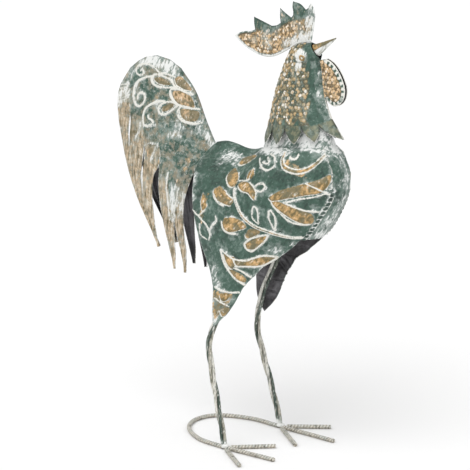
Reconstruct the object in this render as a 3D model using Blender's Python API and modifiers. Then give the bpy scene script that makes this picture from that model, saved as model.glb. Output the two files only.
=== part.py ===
"""Metal rooster garden ornament: pressed sheet halves standing on twisted wire legs.

Metres, +Z up, beak towards +X. The origin is on the floor, under the middle of the bird.
Outlines are drawn in millimetres (along the bird, half width, height) for a bird 600 mm
tall, and follow HEIGHT. Sheet, wire and rod gauges are real sizes of their own.
"""

import math

import bmesh
import bpy
import numpy as np
from mathutils import Vector

# Overall size
HEIGHT = 0.600
DRAWN_HEIGHT = 600.0
FIT = HEIGHT / DRAWN_HEIGHT

# Gauges and fits
SHEET = 0.0008
COMB_SHEET = 0.0012
WATTLE_SHEET = 0.0010
WIRE = 0.0042
ROD = 0.0064
GAP = 0.0003
WELD = 0.00001
ROUND_RESOLUTION = 2
ROUND_SIDES = 4 + 2 * ROUND_RESOLUTION

# Body panel, from the tail end of the back to the neck and down to the thigh
BACK = [(-32, 0, 405), (-14, 0, 408), (3, 0, 406), (21, 0, 402), (36, 0, 402), (50, 0, 406)]
NECK_BASE = [(50, 0, 406), (61, 7, 408), (80, 17, 411), (105, 22, 414), (132, 20, 416), (157, 14.5, 418)]
REAR_EDGE = [(-32, 0, 405), (-38, 5.5, 398), (-42, 12, 390), (-42, 24, 381), (-38, 37, 371), (-33, 46, 360),
             (-29, 53, 344), (-25, 56, 323), (-18, 55, 291), (-8, 50.5, 258), (-3, 47, 239), (0, 45.3, 216),
             (0, 46.3, 196), (2, 49.3, 180), (8, 53.8, 166)]
LOWER_EDGE = [(8, 53.8, 166), (26, 50.9, 183), (38.5, 48.3, 200), (52.5, 44.3, 226), (67, 38.8, 242.5),
              (79.5, 34.5, 257), (93.5, 32, 265.5), (105, 30.5, 273.5), (121, 29, 286), (134, 28.5, 298)]
BEAD_LINE = [(157, 14.5, 418), (165, 18, 409), (171.5, 18.5, 397), (176, 19, 385), (176, 19.5, 370),
             (172, 22, 354), (160, 25, 332), (146, 27, 311), (134, 28.5, 298)]
BREAST_SEAM = [(162, 0, 419), (171, 0, 411), (177.5, 0, 399), (181.5, 0, 385), (181.5, 0, 368),
               (178, 0, 352), (167, 0, 330), (153, 0, 309), (142, 0, 296)]
COLLAR_TOP = [(69, 0, 455), (80, 7, 457), (102, 13, 459), (126, 12, 461), (145, 6, 463), (152, 0, 464)]
BELLY_BULGE = 19.0
BELLY_FULLNESS = 0.7
BELLY_HEIGHT = 0.85
BACK_COLUMNS = 5
NECK_COLUMNS = 7
BREAST_COLUMNS = 3
BODY_ROWS = 16
COLLAR_ROWS = 3

# Tail half: lines that run from the top arc down to the feather tips, as
# (share of the way down, along, height). Feathers lie between one line and the next.
OUTER_LINE = [(0, -189, 494), (0.12, -202.5, 467), (0.22, -203.5, 446), (0.32, -199.5, 420),
              (0.42, -193.5, 394.5), (0.52, -187, 368.5), (0.64, -176, 337.5), (0.76, -163, 311.5),
              (0.86, -147, 288), (0.94, -132, 266), (1.0, -123.5, 252)]
SLOT_1_LINE = [(0, -174, 504.5), (0.12, -182, 470), (0.27, -177, 430), (0.4, -179, 395), (0.52, -174.5, 360),
               (0.7, -159, 316), (0.86, -141, 282), (1.0, -123, 251.8)]
SLOT_2_LINE = [(0, -160, 511), (0.12, -163, 472), (0.27, -153, 427), (0.37, -149.5, 391.5),
               (0.52, -153.5, 350), (0.64, -152, 317), (0.86, -133, 274), (1.0, -122.5, 251.6)]
SLOT_3_REAR = [(0, -140, 514.5), (0.12, -139, 468), (0.27, -128, 415), (0.45, -121, 367), (0.52, -129, 353),
               (0.64, -133, 332), (0.86, -128, 279), (1.0, -122, 251.5)]
SLOT_3_FRONT = [(0, -140, 514.5), (0.12, -139, 468), (0.27, -128, 415), (0.45, -121, 367), (0.6, -120, 325),
                (0.76, -110, 280), (0.88, -100, 249), (1.0, -92, 225.5)]
SLOT_4_REAR = [(0, -117, 510.5), (0.12, -114, 468), (0.27, -106, 415), (0.5, -104, 345), (0.68, -92.5, 297),
               (0.8, -91, 268), (0.9, -89.5, 245), (1.0, -91, 225)]
SLOT_4_FRONT = [(0, -117, 510.5), (0.12, -114, 468), (0.27, -106, 415), (0.5, -104, 345), (0.68, -92.5, 297),
                (0.8, -83.5, 265), (0.9, -77, 243), (1.0, -71.5, 223)]
FRONT_LINE = [(0, -96, 500), (0.12, -68, 468), (0.22, -48.5, 428), (0.3, -31, 399), (0.38, -17, 391),
              (0.44, -28, 384), (0.52, -46, 374), (0.6, -60, 353), (0.68, -71, 325), (0.78, -74, 292),
              (0.9, -68.5, 250), (1.0, -70.5, 222.8)]
TAIL_DEPTH = 21.0
TAIL_FILL = 0.35
TAIL_ROUNDNESS = 0.8
ROOF_ROUNDNESS = 0.9
REAR_FLATTENING = 0.35
RIDGE_END = 0.38
RIDGE_OPEN = 0.52
FEATHER_CAMBER = 1.6
CAMBER_START = 0.3
CAMBER_FULL = 0.5
TAIL_ROWS = 16
FEATHER_COLUMNS = (2, 2, 3, 3, 5)
FEATHER_PLACES = (0, 0.14, 0.28, 0.45, 0.62, 1.0)
SLOT_1 = (0.27, 0.42)
SLOT_2 = (0.37, 0.64)
SLOT_WIDTH = 3.0
SLOT_BLUNTNESS = 0.6

# Neck and head half, from the crown down to the foot of the hackle
CROWN = [(95, 0, 539.5), (102, 0, 543.5), (110, 0, 545.8), (128, 0, 549)]
NAPE = [(95, 0, 539.5), (87, 0, 524), (79, 0, 506), (70.5, 0, 485), (65, 0, 465), (60, 0, 445), (57, 0, 435)]
FACE = [(128, 0, 549), (132, 6.5, 545), (136, 7.5, 539), (139.5, 5.5, 534), (142, 0, 529)]
THROAT = [(142, 0, 529), (145.5, 0, 513), (147, 0, 498), (151, 0, 479), (155, 0, 467), (161.5, 0, 453)]
VALLEY_LINE = [(57, 0, 435), (68, 0, 438), (90, 0, 442), (120, 0, 444), (145, 0, 446), (161.5, 0, 453)]
PETAL_TIPS = [(49, 0, 414), (66, 0, 415), (92, 0, 417.5), (122, 0, 421), (151, 0, 425.5), (180, 0, 429)]
FACE_ROWS = 3
NECK_ROWS = 12
NECK_HALF_WIDTHS = [0, 10.5, 13.5, 14.5, 16, 18.5, 22, 26]
NECK_FULLNESS = 0.85
PETAL_HALF_WIDTH = 30.0
PETAL_SKIRT_FULLNESS = 0.75
PETAL_EDGES = (0, 0.22, 0.46, 0.68, 0.87, 1.0)
PETAL_ROWS = 4
PETAL_POINT = 0.06
PETAL_TAPER = 1.9

# Comb: its foot, one stroke for each side of a tooth from the rear to the front, and the
# place along the foot that belongs to the start of each stroke and to the end of the last
COMB_FOOT = [(0, 550.5), (8, 543.5), (22.5, 535), (39, 528.7), (56, 526), (70, 528.6), (83.5, 534.5)]
COMB_STROKES = [
    [(0, 550.5), (8, 555), (19, 557.5)],
    [(19, 557.5), (27, 558), (34.5, 560.5)],
    [(34.5, 560.5), (33, 568), (32.5, 577)],
    [(32.5, 577), (46.5, 572.3), (62.5, 566.8)],
    [(62.5, 566.8), (70.5, 568), (77, 571.5)],
    [(77, 571.5), (76, 580), (76, 590.5)],
    [(76, 590.5), (85, 584.5), (94.3, 579.3)],
    [(94.3, 579.3), (97.2, 582.5), (97.6, 587)],
    [(97.6, 587), (96.2, 593.5), (97, 600)],
    [(97, 600), (109, 597.3), (118, 590.5)],
    [(118, 590.5), (121.5, 593), (126, 599.3)],
    [(126, 599.3), (132, 590.5), (133, 582)],
    [(133, 582), (131.3, 568), (128, 553)],
]
COMB_FOOT_PLACES = (0, 13, 42, 44, 57, 82, 84.5, 93, 107, 110, 115, 119, 122, 128)
STROKE_COLUMNS = 2
COMB_ROWS = 3
FOOT_STEPS = 120

# Beak: tip, and the depth that its mouth line splits
BEAK_TIP = (166.5, 0, 557)
BEAK_STATIONS = 5
BEAK_SIDES = 6
BEAK_BLUNT = 0.07
BEAK_TAPER = 0.9
MOUTH_SHARE = 0.52
ROOT_SHARES = (0.10, 0.86)

# Wattle: its outer edge from the chin to the lower end
WATTLE_RIM = [(153, 530), (164.5, 523.3), (174.5, 511.7), (181, 499), (182.7, 490), (180.5, 480.5),
              (174, 473.7), (164.5, 472.2), (156, 478)]
WATTLE_INNER = (0.02, 0.64)
WATTLE_STAND = 1.2
WATTLE_DOME = 2.6
WATTLE_FULLNESS = 0.6
WATTLE_COLUMNS = 9
WATTLE_ROWS = 4

# Leg centre line from the hip to the foot, toes as (direction, length), and the hoop
LEG_LINE = [(48, 38.5, 261), (31, 40, 229), (17, 41, 202), (5.5, 45, 171), (-1.8, 49.7, 151.5), (-1.6, 51.8, 135.5),
            (2.4, 53.8, 115), (18, 57.8, 60)]
FOOT = (32, 60)
TWIST_START = 0.34
TWIST_TURNS = 1.4
LEG_POINTS = 22
WIRES_PER_LEG = 3
RIGHT_TOES = {"inner": (45, 69), "middle": (2, 83), "outer": (-35, 76)}
LEFT_TOES = {"inner": (37, 83), "middle": (2, 96), "outer": (-38, 71)}
HOOP_BENDS = [(-18, -54), (-60, -28), (-79, 8), (-68, 43), (-22, 62)]
HOOP_POINTS = 27

# Paint, seen from a distance
GREEN = (0.075, 0.130, 0.105, 1)
TAUPE = (0.300, 0.240, 0.160, 1)
OCHRE = (0.450, 0.290, 0.120, 1)
CREAM = (0.620, 0.590, 0.510, 1)


def smooth_line(points, steps_per_span=12):
    """A smooth curve through the points, as a function of the share of its length."""
    knots = np.array(points, float)
    ends = (2 * knots[0] - knots[1], 2 * knots[-1] - knots[-2])
    padded = np.vstack([ends[0], knots, ends[1]])
    step = np.linspace(0, 1, steps_per_span, endpoint=False)[:, None]
    spans = []
    for before, start, end, after in zip(padded, padded[1:], padded[2:], padded[3:]):
        slope = end - before
        square = 2 * before - 5 * start + 4 * end - after
        cube = 3 * (start - end) + after - before
        spans.append(start + 0.5 * step * (slope + step * (square + step * cube)))
    dense = np.vstack(spans + [knots[-1:]])
    lengths = np.linalg.norm(np.diff(dense, axis=0), axis=1)
    shares = np.concatenate([[0], np.cumsum(lengths)]) / lengths.sum()
    return lambda share: np.array([np.interp(share, shares, column) for column in dense.T])


def keyed_line(points):
    """A smooth curve through points whose first value is the share that they belong to."""
    table = np.array(points, float)
    slopes = np.gradient(table[:, 1:], table[:, 0], axis=0)

    def at(share):
        span = int(np.clip(np.searchsorted(table[:, 0], share) - 1, 0, len(table) - 2))
        start, end = table[span], table[span + 1]
        width = end[0] - start[0]
        part = (share - start[0]) / width
        rise = part * part * (3 - 2 * part)
        lead = part * (1 - part) ** 2 * width
        trail = -part * part * (1 - part) * width
        return start[1:] + rise * (end - start)[1:] + lead * slopes[span] + trail * slopes[span + 1]

    return at


def patch(top, bottom, start, end, across, down):
    """A point of the surface that spans four edge curves."""
    corners = (1 - down) * ((1 - across) * top(0) + across * top(1))
    corners = corners + down * ((1 - across) * bottom(0) + across * bottom(1))
    edges = (1 - down) * top(across) + down * bottom(across)
    return edges + (1 - across) * start(down) + across * end(down) - corners


def lobe(share, power):
    """Zero at both ends of a span and one in its middle; a low power makes it fuller."""
    return math.sin(math.pi * min(max(share, 0.0), 1.0)) ** power


def new_material(name, colour, roughness=0.55, metallic=0.45):
    material = bpy.data.materials.new(name)
    material.use_nodes = True
    shader = material.node_tree.nodes["Principled BSDF"]
    shader.inputs["Base Color"].default_value = colour
    shader.inputs["Roughness"].default_value = roughness
    shader.inputs["Metallic"].default_value = metallic
    material.diffuse_color = colour
    return material


def add_object(name, data, colour, collection):
    thing = bpy.data.objects.new(name, data)
    data.materials.append(new_material(name + "_paint", colour))
    collection.objects.link(thing)
    return thing


def add_strip(bm, points):
    """Lays a grid primitive over a table of drawn points, rows by columns."""
    rows, columns = points.shape[:2]
    made = bmesh.ops.create_grid(bm, x_segments=columns - 1, y_segments=rows - 1, size=1.0)
    for vert in made["verts"]:
        row = round((vert.co.y + 1) / 2 * (rows - 1))
        column = round((vert.co.x + 1) / 2 * (columns - 1))
        vert.co = Vector(points[row, column]) * FIT


def add_sheet(name, strips, side, thickness, colour, collection):
    """Strips of one pressed sheet, welded where they meet, on the right (-1) or left (1) side.

    The strips lie on the sheet's inner face, and its thickness goes outwards. The seam
    edges keep half the gap to the other side."""
    bm = bmesh.new()
    for strip in strips:
        placed = strip.copy()
        placed[:, :, 1] = side * np.maximum(placed[:, :, 1], GAP / FIT / 2)
        add_strip(bm, placed)
    bmesh.ops.remove_doubles(bm, verts=bm.verts, dist=WELD)
    bmesh.ops.triangulate(bm, faces=bm.faces)
    if side < 0:
        bmesh.ops.reverse_faces(bm, faces=bm.faces)
    mesh = bpy.data.meshes.new(name)
    bm.to_mesh(mesh)
    bm.free()
    mesh.shade_smooth()
    sheet = add_object(name, mesh, colour, collection)
    shell = sheet.modifiers.new("sheet", "SOLIDIFY")
    shell.thickness = thickness
    shell.offset = 1.0
    shell.use_even_offset = True
    shell.use_quality_normals = True
    return sheet


def table_of(point_at, rows, columns):
    return np.array([[point_at(column, row) for column in columns] for row in rows])


def add_rod(name, points, diameter, colour, collection):
    """A round wire or rod through the points, in metres, with closed ends and a side down."""
    data = bpy.data.curves.new(name, "CURVE")
    data.dimensions = "3D"
    data.bevel_depth = diameter / 2
    data.bevel_resolution = ROUND_RESOLUTION
    data.use_fill_caps = True
    spline = data.splines.new("POLY")
    spline.points.add(len(points) - 1)
    for slot, place in zip(spline.points, points):
        slot.co = (*place, 1.0)
        slot.radius = 1.0
        slot.tilt = math.pi / ROUND_SIDES
    spline.use_smooth = True
    return add_object(name, data, colour, collection)


def body_strips():
    """The side panel, the half of the breast strip, and the collar inside the hackle."""
    back = smooth_line(BACK)
    neck_base = smooth_line(NECK_BASE)
    rear = smooth_line(REAR_EDGE)
    lower = smooth_line(LOWER_EDGE)
    bead = smooth_line(BEAD_LINE)
    seam = smooth_line(BREAST_SEAM)
    collar_top = smooth_line(COLLAR_TOP)
    side_columns = BACK_COLUMNS + NECK_COLUMNS
    neck_share = BACK_COLUMNS / side_columns

    def top(share):
        if share <= neck_share:
            return back(share / neck_share)
        return neck_base((share - neck_share) / (1 - neck_share))

    def panel(across, down):
        point = patch(top, lower, rear, bead, across, down)
        point[1] += BELLY_BULGE * lobe(across, BELLY_FULLNESS) * lobe(down ** BELLY_HEIGHT, BELLY_FULLNESS)
        return point

    def breast(across, down):
        point = (1 - across) * bead(down) + across * seam(down)
        rounding = math.sin(math.pi / 2 * across) - across
        point[0] += rounding * (seam(down) - bead(down))[0]
        return point

    rows = np.linspace(0, 1, BODY_ROWS + 1)
    side = table_of(panel, rows, np.linspace(0, 1, side_columns + 1))
    front = table_of(breast, rows, np.linspace(0, 1, BREAST_COLUMNS + 1))
    foot_row = np.vstack([side[0, BACK_COLUMNS:], front[0, 1:]])
    head_row = np.array([collar_top(share) for share in np.linspace(0, 1, len(foot_row))])
    lift = np.linspace(0, 1, COLLAR_ROWS + 1)[::-1, None, None]
    collar = (1 - lift) * foot_row + lift * head_row
    return [side, front, collar]


def tail_point(line_a, line_b, places, across, down):
    """A point between two tail lines; places are the lines' shares of the way to the ridge."""
    along, height = (1 - across) * line_a(down) + across * line_b(down)
    to_ridge = (1 - across) * places[0] + across * places[1]
    closed = float(np.clip((RIDGE_OPEN - down) / (RIDGE_OPEN - RIDGE_END), 0, 1))
    filled = math.sin(math.pi / 2 * min(1.0, down / TAIL_FILL)) ** TAIL_ROUNDNESS
    roof = (1 - closed * to_ridge ** 2) ** ROOF_ROUNDNESS
    depth = TAIL_DEPTH * filled * roof * (1 - REAR_FLATTENING * (1 - to_ridge) ** 2)
    parted = float(np.clip((down - CAMBER_START) / (CAMBER_FULL - CAMBER_START), 0, 1))
    camber = FEATHER_CAMBER * parted * lobe(across, 1.0)
    return np.array([along, depth + camber, height])


def tail_strips():
    """Feathers side by side; neighbours share their edge where no slot parts them."""
    rear_sides = (OUTER_LINE, SLOT_1_LINE, SLOT_2_LINE, SLOT_3_FRONT, SLOT_4_FRONT)
    front_sides = (SLOT_1_LINE, SLOT_2_LINE, SLOT_3_REAR, SLOT_4_REAR, FRONT_LINE)
    slots = (None, SLOT_1, SLOT_2, None, None, None)
    rows = np.linspace(0, 1, TAIL_ROWS + 1)

    def gap_at(slot, down):
        if slot is None or not slot[0] < down < slot[1]:
            return 0.0
        return SLOT_WIDTH / 2 * lobe((down - slot[0]) / (slot[1] - slot[0]), SLOT_BLUNTNESS)

    strips = []
    for index, (rear_side, front_side) in enumerate(zip(rear_sides, front_sides)):
        line_a, line_b = keyed_line(rear_side), keyed_line(front_side)
        reach = (FEATHER_PLACES[index], FEATHER_PLACES[index + 1])
        strip = table_of(lambda across, down: tail_point(line_a, line_b, reach, across, down),
                         rows, np.linspace(0, 1, FEATHER_COLUMNS[index] + 1))
        for row, down in enumerate(rows):
            strip[row, 0, 0] += gap_at(slots[index], down)
            strip[row, -1, 0] -= gap_at(slots[index + 1], down)
        strips.append(strip)
    return strips


def neck_strips():
    """Head and neck down to the valleys between the petals, then the petals."""
    crown = smooth_line(CROWN)
    nape = smooth_line(NAPE)
    face = smooth_line(FACE)
    throat = smooth_line(THROAT)
    valley = smooth_line(VALLEY_LINE)
    tips = smooth_line(PETAL_TIPS)
    face_share = FACE_ROWS / NECK_ROWS
    width_steps = np.linspace(0, 1, len(NECK_HALF_WIDTHS))

    def front(share):
        if share <= face_share:
            return face(share / face_share)
        return throat((share - face_share) / (1 - face_share))

    def skin(across, down):
        point = patch(crown, valley, nape, front, across, down)
        point[1] += np.interp(down, width_steps, NECK_HALF_WIDTHS) * lobe(across, NECK_FULLNESS)
        return point

    def tip_edge(across):
        point = tips(across)
        point[1] = PETAL_HALF_WIDTH * lobe(across, PETAL_SKIRT_FULLNESS)
        return point

    edges = [PETAL_EDGES[0]]
    for start, end in zip(PETAL_EDGES, PETAL_EDGES[1:]):
        middle = [] if end == 1.0 else [(start + end) / 2]
        edges += middle + [end]
    strips = [table_of(skin, np.linspace(0, 1, NECK_ROWS + 1), edges)]
    for start, end in zip(PETAL_EDGES, PETAL_EDGES[1:]):
        centre = end if end == 1.0 else (start + end) / 2

        def petal(across, down):
            narrow = 1 - (1 - PETAL_POINT) * down ** PETAL_TAPER
            share = centre + (across - centre) * narrow
            return (1 - down) * skin(share, 1.0) + down * tip_edge(share)

        columns = [start, end] if end == 1.0 else [start, centre, end]
        strips.append(table_of(petal, np.linspace(0, 1, PETAL_ROWS + 1), columns))
    return strips


def add_comb(collection):
    """One pressed sheet on the centre plane, its teeth drawn stroke by stroke."""
    outline, places = [], []
    for stroke, begin, end in zip(COMB_STROKES, COMB_FOOT_PLACES, COMB_FOOT_PLACES[1:]):
        side = smooth_line(stroke)
        for share in np.linspace(0, 1, STROKE_COLUMNS + 1)[:-1]:
            outline.append(side(share))
            places.append(begin + share * (end - begin))
    outline.append(np.array(COMB_STROKES[-1][-1], float))
    places.append(COMB_FOOT_PLACES[-1])
    seat = [(along, height + (SHEET + GAP) / FIT) for along, _, height in CROWN]
    foot = smooth_line(COMB_FOOT + seat)
    walk = np.array([foot(share) for share in np.linspace(0, 1, FOOT_STEPS + 1)])
    points = np.zeros((COMB_ROWS + 1, len(outline), 3))
    for column, (edge, place) in enumerate(zip(outline, places)):
        start = np.array([place, np.interp(place, walk[:, 0], walk[:, 1])])
        for row in range(COMB_ROWS + 1):
            rise = row / COMB_ROWS
            along, height = (1 - rise) * start + rise * edge
            points[row, column] = (along, 0, height)
    bm = bmesh.new()
    add_strip(bm, points)
    bmesh.ops.remove_doubles(bm, verts=bm.verts, dist=WELD)
    bmesh.ops.triangulate(bm, faces=bm.faces)
    mesh = bpy.data.meshes.new("comb")
    bm.to_mesh(mesh)
    bm.free()
    comb = add_object("comb", mesh, OCHRE, collection)
    shell = comb.modifiers.new("sheet", "SOLIDIFY")
    shell.thickness = COMB_SHEET
    shell.offset = 0.0
    return comb


def add_mandible(name, upper, collection):
    """Half of the beak's cone: rings from the face to the blunt tip, flat on the mouth line."""
    face = smooth_line(FACE)
    top, chin = (face(share) * (1, 0, 1) for share in ROOT_SHARES)
    tip = np.array(BEAK_TIP, float)
    inset = (SHEET + 2 * GAP) / FIT
    half_width = max(point[1] for point in FACE) - inset
    mouth = (1 - MOUTH_SHARE) * top + MOUTH_SHARE * chin
    far_edge = top if upper else chin
    forward = (tip - mouth) / np.linalg.norm(tip - mouth)
    up = (far_edge - mouth) / np.linalg.norm(far_edge - mouth)
    reach = np.linalg.norm(far_edge - mouth) - inset
    sideways = np.array([0.0, 1.0, 0.0])
    bm = bmesh.new()
    rings = []
    for station in range(BEAK_STATIONS + 1):
        share = station / BEAK_STATIONS
        size = 1 - (1 - BEAK_BLUNT) * share ** BEAK_TAPER
        centre = mouth + forward * (GAP / FIT) + share * (tip - mouth) + up * (GAP / FIT / 2)
        ring = []
        for side in range(BEAK_SIDES + 1):
            angle = math.pi * side / BEAK_SIDES
            offset = up * reach * math.sin(angle) + sideways * half_width * math.cos(angle)
            ring.append(bm.verts.new(Vector(centre + size * offset) * FIT))
        rings.append(ring)
    for near, far in zip(rings, rings[1:]):
        for side in range(len(near)):
            after = (side + 1) % len(near)
            bm.faces.new((near[side], near[after], far[after], far[side]))
    bm.faces.new(rings[0])
    bm.faces.new(rings[-1])
    bmesh.ops.recalc_face_normals(bm, faces=bm.faces)
    mesh = bpy.data.meshes.new(name)
    bm.to_mesh(mesh)
    bm.free()
    return add_object(name, mesh, CREAM, collection)


def add_wattle(name, side, collection):
    """A domed lobe that hangs from the throat seam, beside its twin."""
    throat = smooth_line(THROAT)
    rim = smooth_line(WATTLE_RIM)
    start, end = WATTLE_INNER
    clearance = (SHEET + 2 * GAP) / FIT

    def lobe_point(across, down):
        along, _, height = throat(start + across * (end - start))
        inner = np.array([along + clearance, height])
        flat = (1 - down) * inner + down * rim(across)
        dome = WATTLE_DOME * lobe(across, WATTLE_FULLNESS) * lobe(down, WATTLE_FULLNESS)
        return np.array([flat[0], WATTLE_STAND + dome, flat[1]])

    rows = np.linspace(0, 1, WATTLE_ROWS + 1)
    columns = np.linspace(0, 1, WATTLE_COLUMNS + 1)[::-1]
    strips = [table_of(lobe_point, rows, columns)]
    return add_sheet(name, strips, side, WATTLE_SHEET, OCHRE, collection)


def add_leg(side_name, side, collection):
    """Three wires: straight beside each other in the thigh, then twisted down to the foot."""
    foot_height = (ROD + GAP + WIRE / 3) / FIT
    line = smooth_line(LEG_LINE + [(*FOOT, foot_height)])
    shares = np.linspace(0, 1, LEG_POINTS)
    centres = np.array([line(share) for share in shares]) * FIT
    centres[:, 1] *= side
    steps = np.linalg.norm(np.diff(centres, axis=0), axis=1)
    walked = np.concatenate([[0], np.cumsum(steps)])
    tangents = np.gradient(centres, axis=0)
    tangents /= np.linalg.norm(tangents, axis=1)[:, None]
    spread = (WIRE + GAP) / 2 / math.sin(math.pi / WIRES_PER_LEG)
    for number in range(WIRES_PER_LEG):
        points = []
        for centre, tangent, share in zip(centres, tangents, walked / walked[-1]):
            turned = TWIST_TURNS * max(0.0, share - TWIST_START) / (1 - TWIST_START)
            angle = 2 * math.pi * (number / WIRES_PER_LEG + turned)
            first = np.cross(tangent, (0.0, 1.0, 0.0))
            first /= np.linalg.norm(first)
            second = np.cross(tangent, first)
            points.append(centre + spread * (math.cos(angle) * first + math.sin(angle) * second))
        add_rod(f"leg_{side_name}_wire_{number + 1}", points, WIRE, GREEN, collection)


def add_foot(side_name, side, toes, collection):
    """A middle toe under the leg, and one toe welded to each of its sides."""
    base = np.array([FOOT[0] * FIT, side * FOOT[1] * FIT, ROD / 2])
    for toe, (direction, length) in toes.items():
        angle = math.radians(direction) * -side
        heading = np.array([math.cos(angle), math.sin(angle), 0.0])
        start = base
        if toe == "middle":
            middle = heading
        else:
            apart = math.radians(abs(direction - toes["middle"][0]))
            reach = (ROD / 2 * (1 + math.cos(apart)) + GAP) / math.sin(apart)
            start = base + heading * reach
        add_rod(f"toe_{side_name}_{toe}", [start, base + heading * length * FIT], ROD, TAUPE, collection)


def add_hoop(collection):
    """The rod that joins both feet in a bow behind the bird."""
    bends = [np.array([along, across]) for along, across in HOOP_BENDS]
    right = np.array([FOOT[0], -FOOT[1]])
    left = np.array([FOOT[0], FOOT[1]])
    setback = (ROD / 2 + GAP) / FIT
    right_end = right + (bends[0] - right) / np.linalg.norm(bends[0] - right) * setback
    left_end = left + (bends[-1] - left) / np.linalg.norm(bends[-1] - left) * setback
    line = smooth_line([right_end, *bends, left_end])
    points = [(*(line(share) * FIT), ROD / 2) for share in np.linspace(0, 1, HOOP_POINTS)]
    add_rod("hoop", points, ROD, TAUPE, collection)


def stand_on_origin(collection):
    """Moves the bird so that the origin is on the floor, under the middle of its box."""
    graph = bpy.context.evaluated_depsgraph_get()
    places = []
    for thing in collection.objects:
        solid = thing.evaluated_get(graph)
        places += [tuple(vert.co) for vert in solid.to_mesh().vertices]
        solid.to_mesh_clear()
    low, high = np.min(places, axis=0), np.max(places, axis=0)
    middle = Vector(((low[0] + high[0]) / 2, (low[1] + high[1]) / 2, low[2]))
    for thing in collection.objects:
        thing.location -= middle


def main():
    for thing in list(bpy.data.objects):
        bpy.data.objects.remove(thing, do_unlink=True)
    collection = bpy.data.collections.new("metal_rooster")
    bpy.context.scene.collection.children.link(collection)
    for side_name, side, toes in (("right", -1, RIGHT_TOES), ("left", 1, LEFT_TOES)):
        add_sheet(f"body_{side_name}", body_strips(), side, SHEET, GREEN, collection)
        add_sheet(f"tail_{side_name}", tail_strips(), side, SHEET, TAUPE, collection)
        add_sheet(f"neck_{side_name}", neck_strips(), side, SHEET, OCHRE, collection)
        add_wattle(f"wattle_{side_name}", side, collection)
        add_leg(side_name, side, collection)
        add_foot(side_name, side, toes, collection)
    add_comb(collection)
    add_mandible("beak_upper", True, collection)
    add_mandible("beak_lower", False, collection)
    add_hoop(collection)
    stand_on_origin(collection)


main()
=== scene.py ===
"""Finish of the metal rooster ornament: pressed scrolls and leaves, hammered beads, rubbed paint.

Run as a script. Outlines are drawn in millimetres (along the bird, half width, height) for a bird
600 mm tall, as seen from its side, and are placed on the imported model.
"""

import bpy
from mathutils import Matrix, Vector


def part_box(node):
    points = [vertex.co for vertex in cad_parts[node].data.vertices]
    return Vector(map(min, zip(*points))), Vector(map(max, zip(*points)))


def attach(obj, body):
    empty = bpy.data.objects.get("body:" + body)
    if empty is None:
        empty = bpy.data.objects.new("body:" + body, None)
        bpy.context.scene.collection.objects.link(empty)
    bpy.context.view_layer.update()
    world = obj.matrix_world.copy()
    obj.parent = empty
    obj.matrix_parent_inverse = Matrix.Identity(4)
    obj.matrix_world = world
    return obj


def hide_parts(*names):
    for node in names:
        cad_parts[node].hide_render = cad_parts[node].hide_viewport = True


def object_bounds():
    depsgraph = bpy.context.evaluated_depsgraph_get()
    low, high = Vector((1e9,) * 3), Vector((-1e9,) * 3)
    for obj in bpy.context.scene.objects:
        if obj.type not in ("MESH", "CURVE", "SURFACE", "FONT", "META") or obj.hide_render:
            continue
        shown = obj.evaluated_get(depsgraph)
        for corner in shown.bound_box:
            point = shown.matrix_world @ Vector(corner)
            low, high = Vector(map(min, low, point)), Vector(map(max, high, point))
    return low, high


bl_info = {
    "name": "Metal rooster ornament",
    "version": (1, 0, 0),
    "blender": (4, 5, 0),
    "location": "View3D > Sidebar > Rooster",
    "description": "Builds the pressed and painted skin of a sheet metal rooster",
    "category": "Add Mesh",
}

import math

import bpy
import numpy as np
from mathutils import Matrix, Vector

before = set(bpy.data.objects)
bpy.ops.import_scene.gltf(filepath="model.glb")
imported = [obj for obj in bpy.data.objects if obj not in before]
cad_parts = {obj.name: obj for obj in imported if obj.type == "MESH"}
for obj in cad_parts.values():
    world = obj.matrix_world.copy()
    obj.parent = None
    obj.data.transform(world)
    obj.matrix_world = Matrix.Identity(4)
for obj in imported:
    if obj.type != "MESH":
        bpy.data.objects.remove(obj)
CAD_LOW, CAD_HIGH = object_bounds()

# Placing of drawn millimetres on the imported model, read from its comb
DRAWN_HEIGHT = 600.0
DRAWN_COMB_LENGTH = 133.0
COMB_LOW, COMB_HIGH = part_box("comb")
FIT = (COMB_HIGH.x - COMB_LOW.x) / DRAWN_COMB_LENGTH
SHIFT = np.array([COMB_LOW.x, (CAD_LOW.y + CAD_HIGH.y) / 2, COMB_HIGH.z - DRAWN_HEIGHT * FIT])
SEAM = 0.15
SEAM_REACH = 0.05
MERGE_DISTANCE = 0.00001

# Body panel, from the tail end of the back to the neck and down to the thigh
BACK = [(-32, 0, 405), (-14, 0, 408), (3, 0, 406), (21, 0, 402), (36, 0, 402), (50, 0, 406)]
NECK_BASE = [(50, 0, 406), (61, 7, 408), (80, 17, 411), (105, 22, 414), (132, 20, 416), (157, 14.5, 418)]
REAR_EDGE = [(-32, 0, 405), (-38, 5.5, 398), (-42, 12, 390), (-42, 24, 381), (-38, 37, 371), (-33, 46, 360),
             (-29, 53, 344), (-25, 56, 323), (-18, 55, 291), (-8, 50.5, 258), (-3, 47, 239), (0, 45.3, 216),
             (0, 46.3, 196), (2, 49.3, 180), (8, 53.8, 166)]
LOWER_EDGE = [(8, 53.8, 166), (26, 50.9, 183), (38.5, 48.3, 200), (52.5, 44.3, 226), (67, 38.8, 242.5),
              (79.5, 34.5, 257), (93.5, 32, 265.5), (105, 30.5, 273.5), (121, 29, 286), (134, 28.5, 298)]
BEAD_LINE = [(157, 14.5, 418), (165, 18, 409), (171.5, 18.5, 397), (176, 19, 385), (176, 19.5, 370),
             (172, 22, 354), (160, 25, 332), (146, 27, 311), (134, 28.5, 298)]
BREAST_SEAM = [(162, 0, 419), (171, 0, 411), (177.5, 0, 399), (181.5, 0, 385), (181.5, 0, 368),
               (178, 0, 352), (167, 0, 330), (153, 0, 309), (142, 0, 296)]
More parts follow.
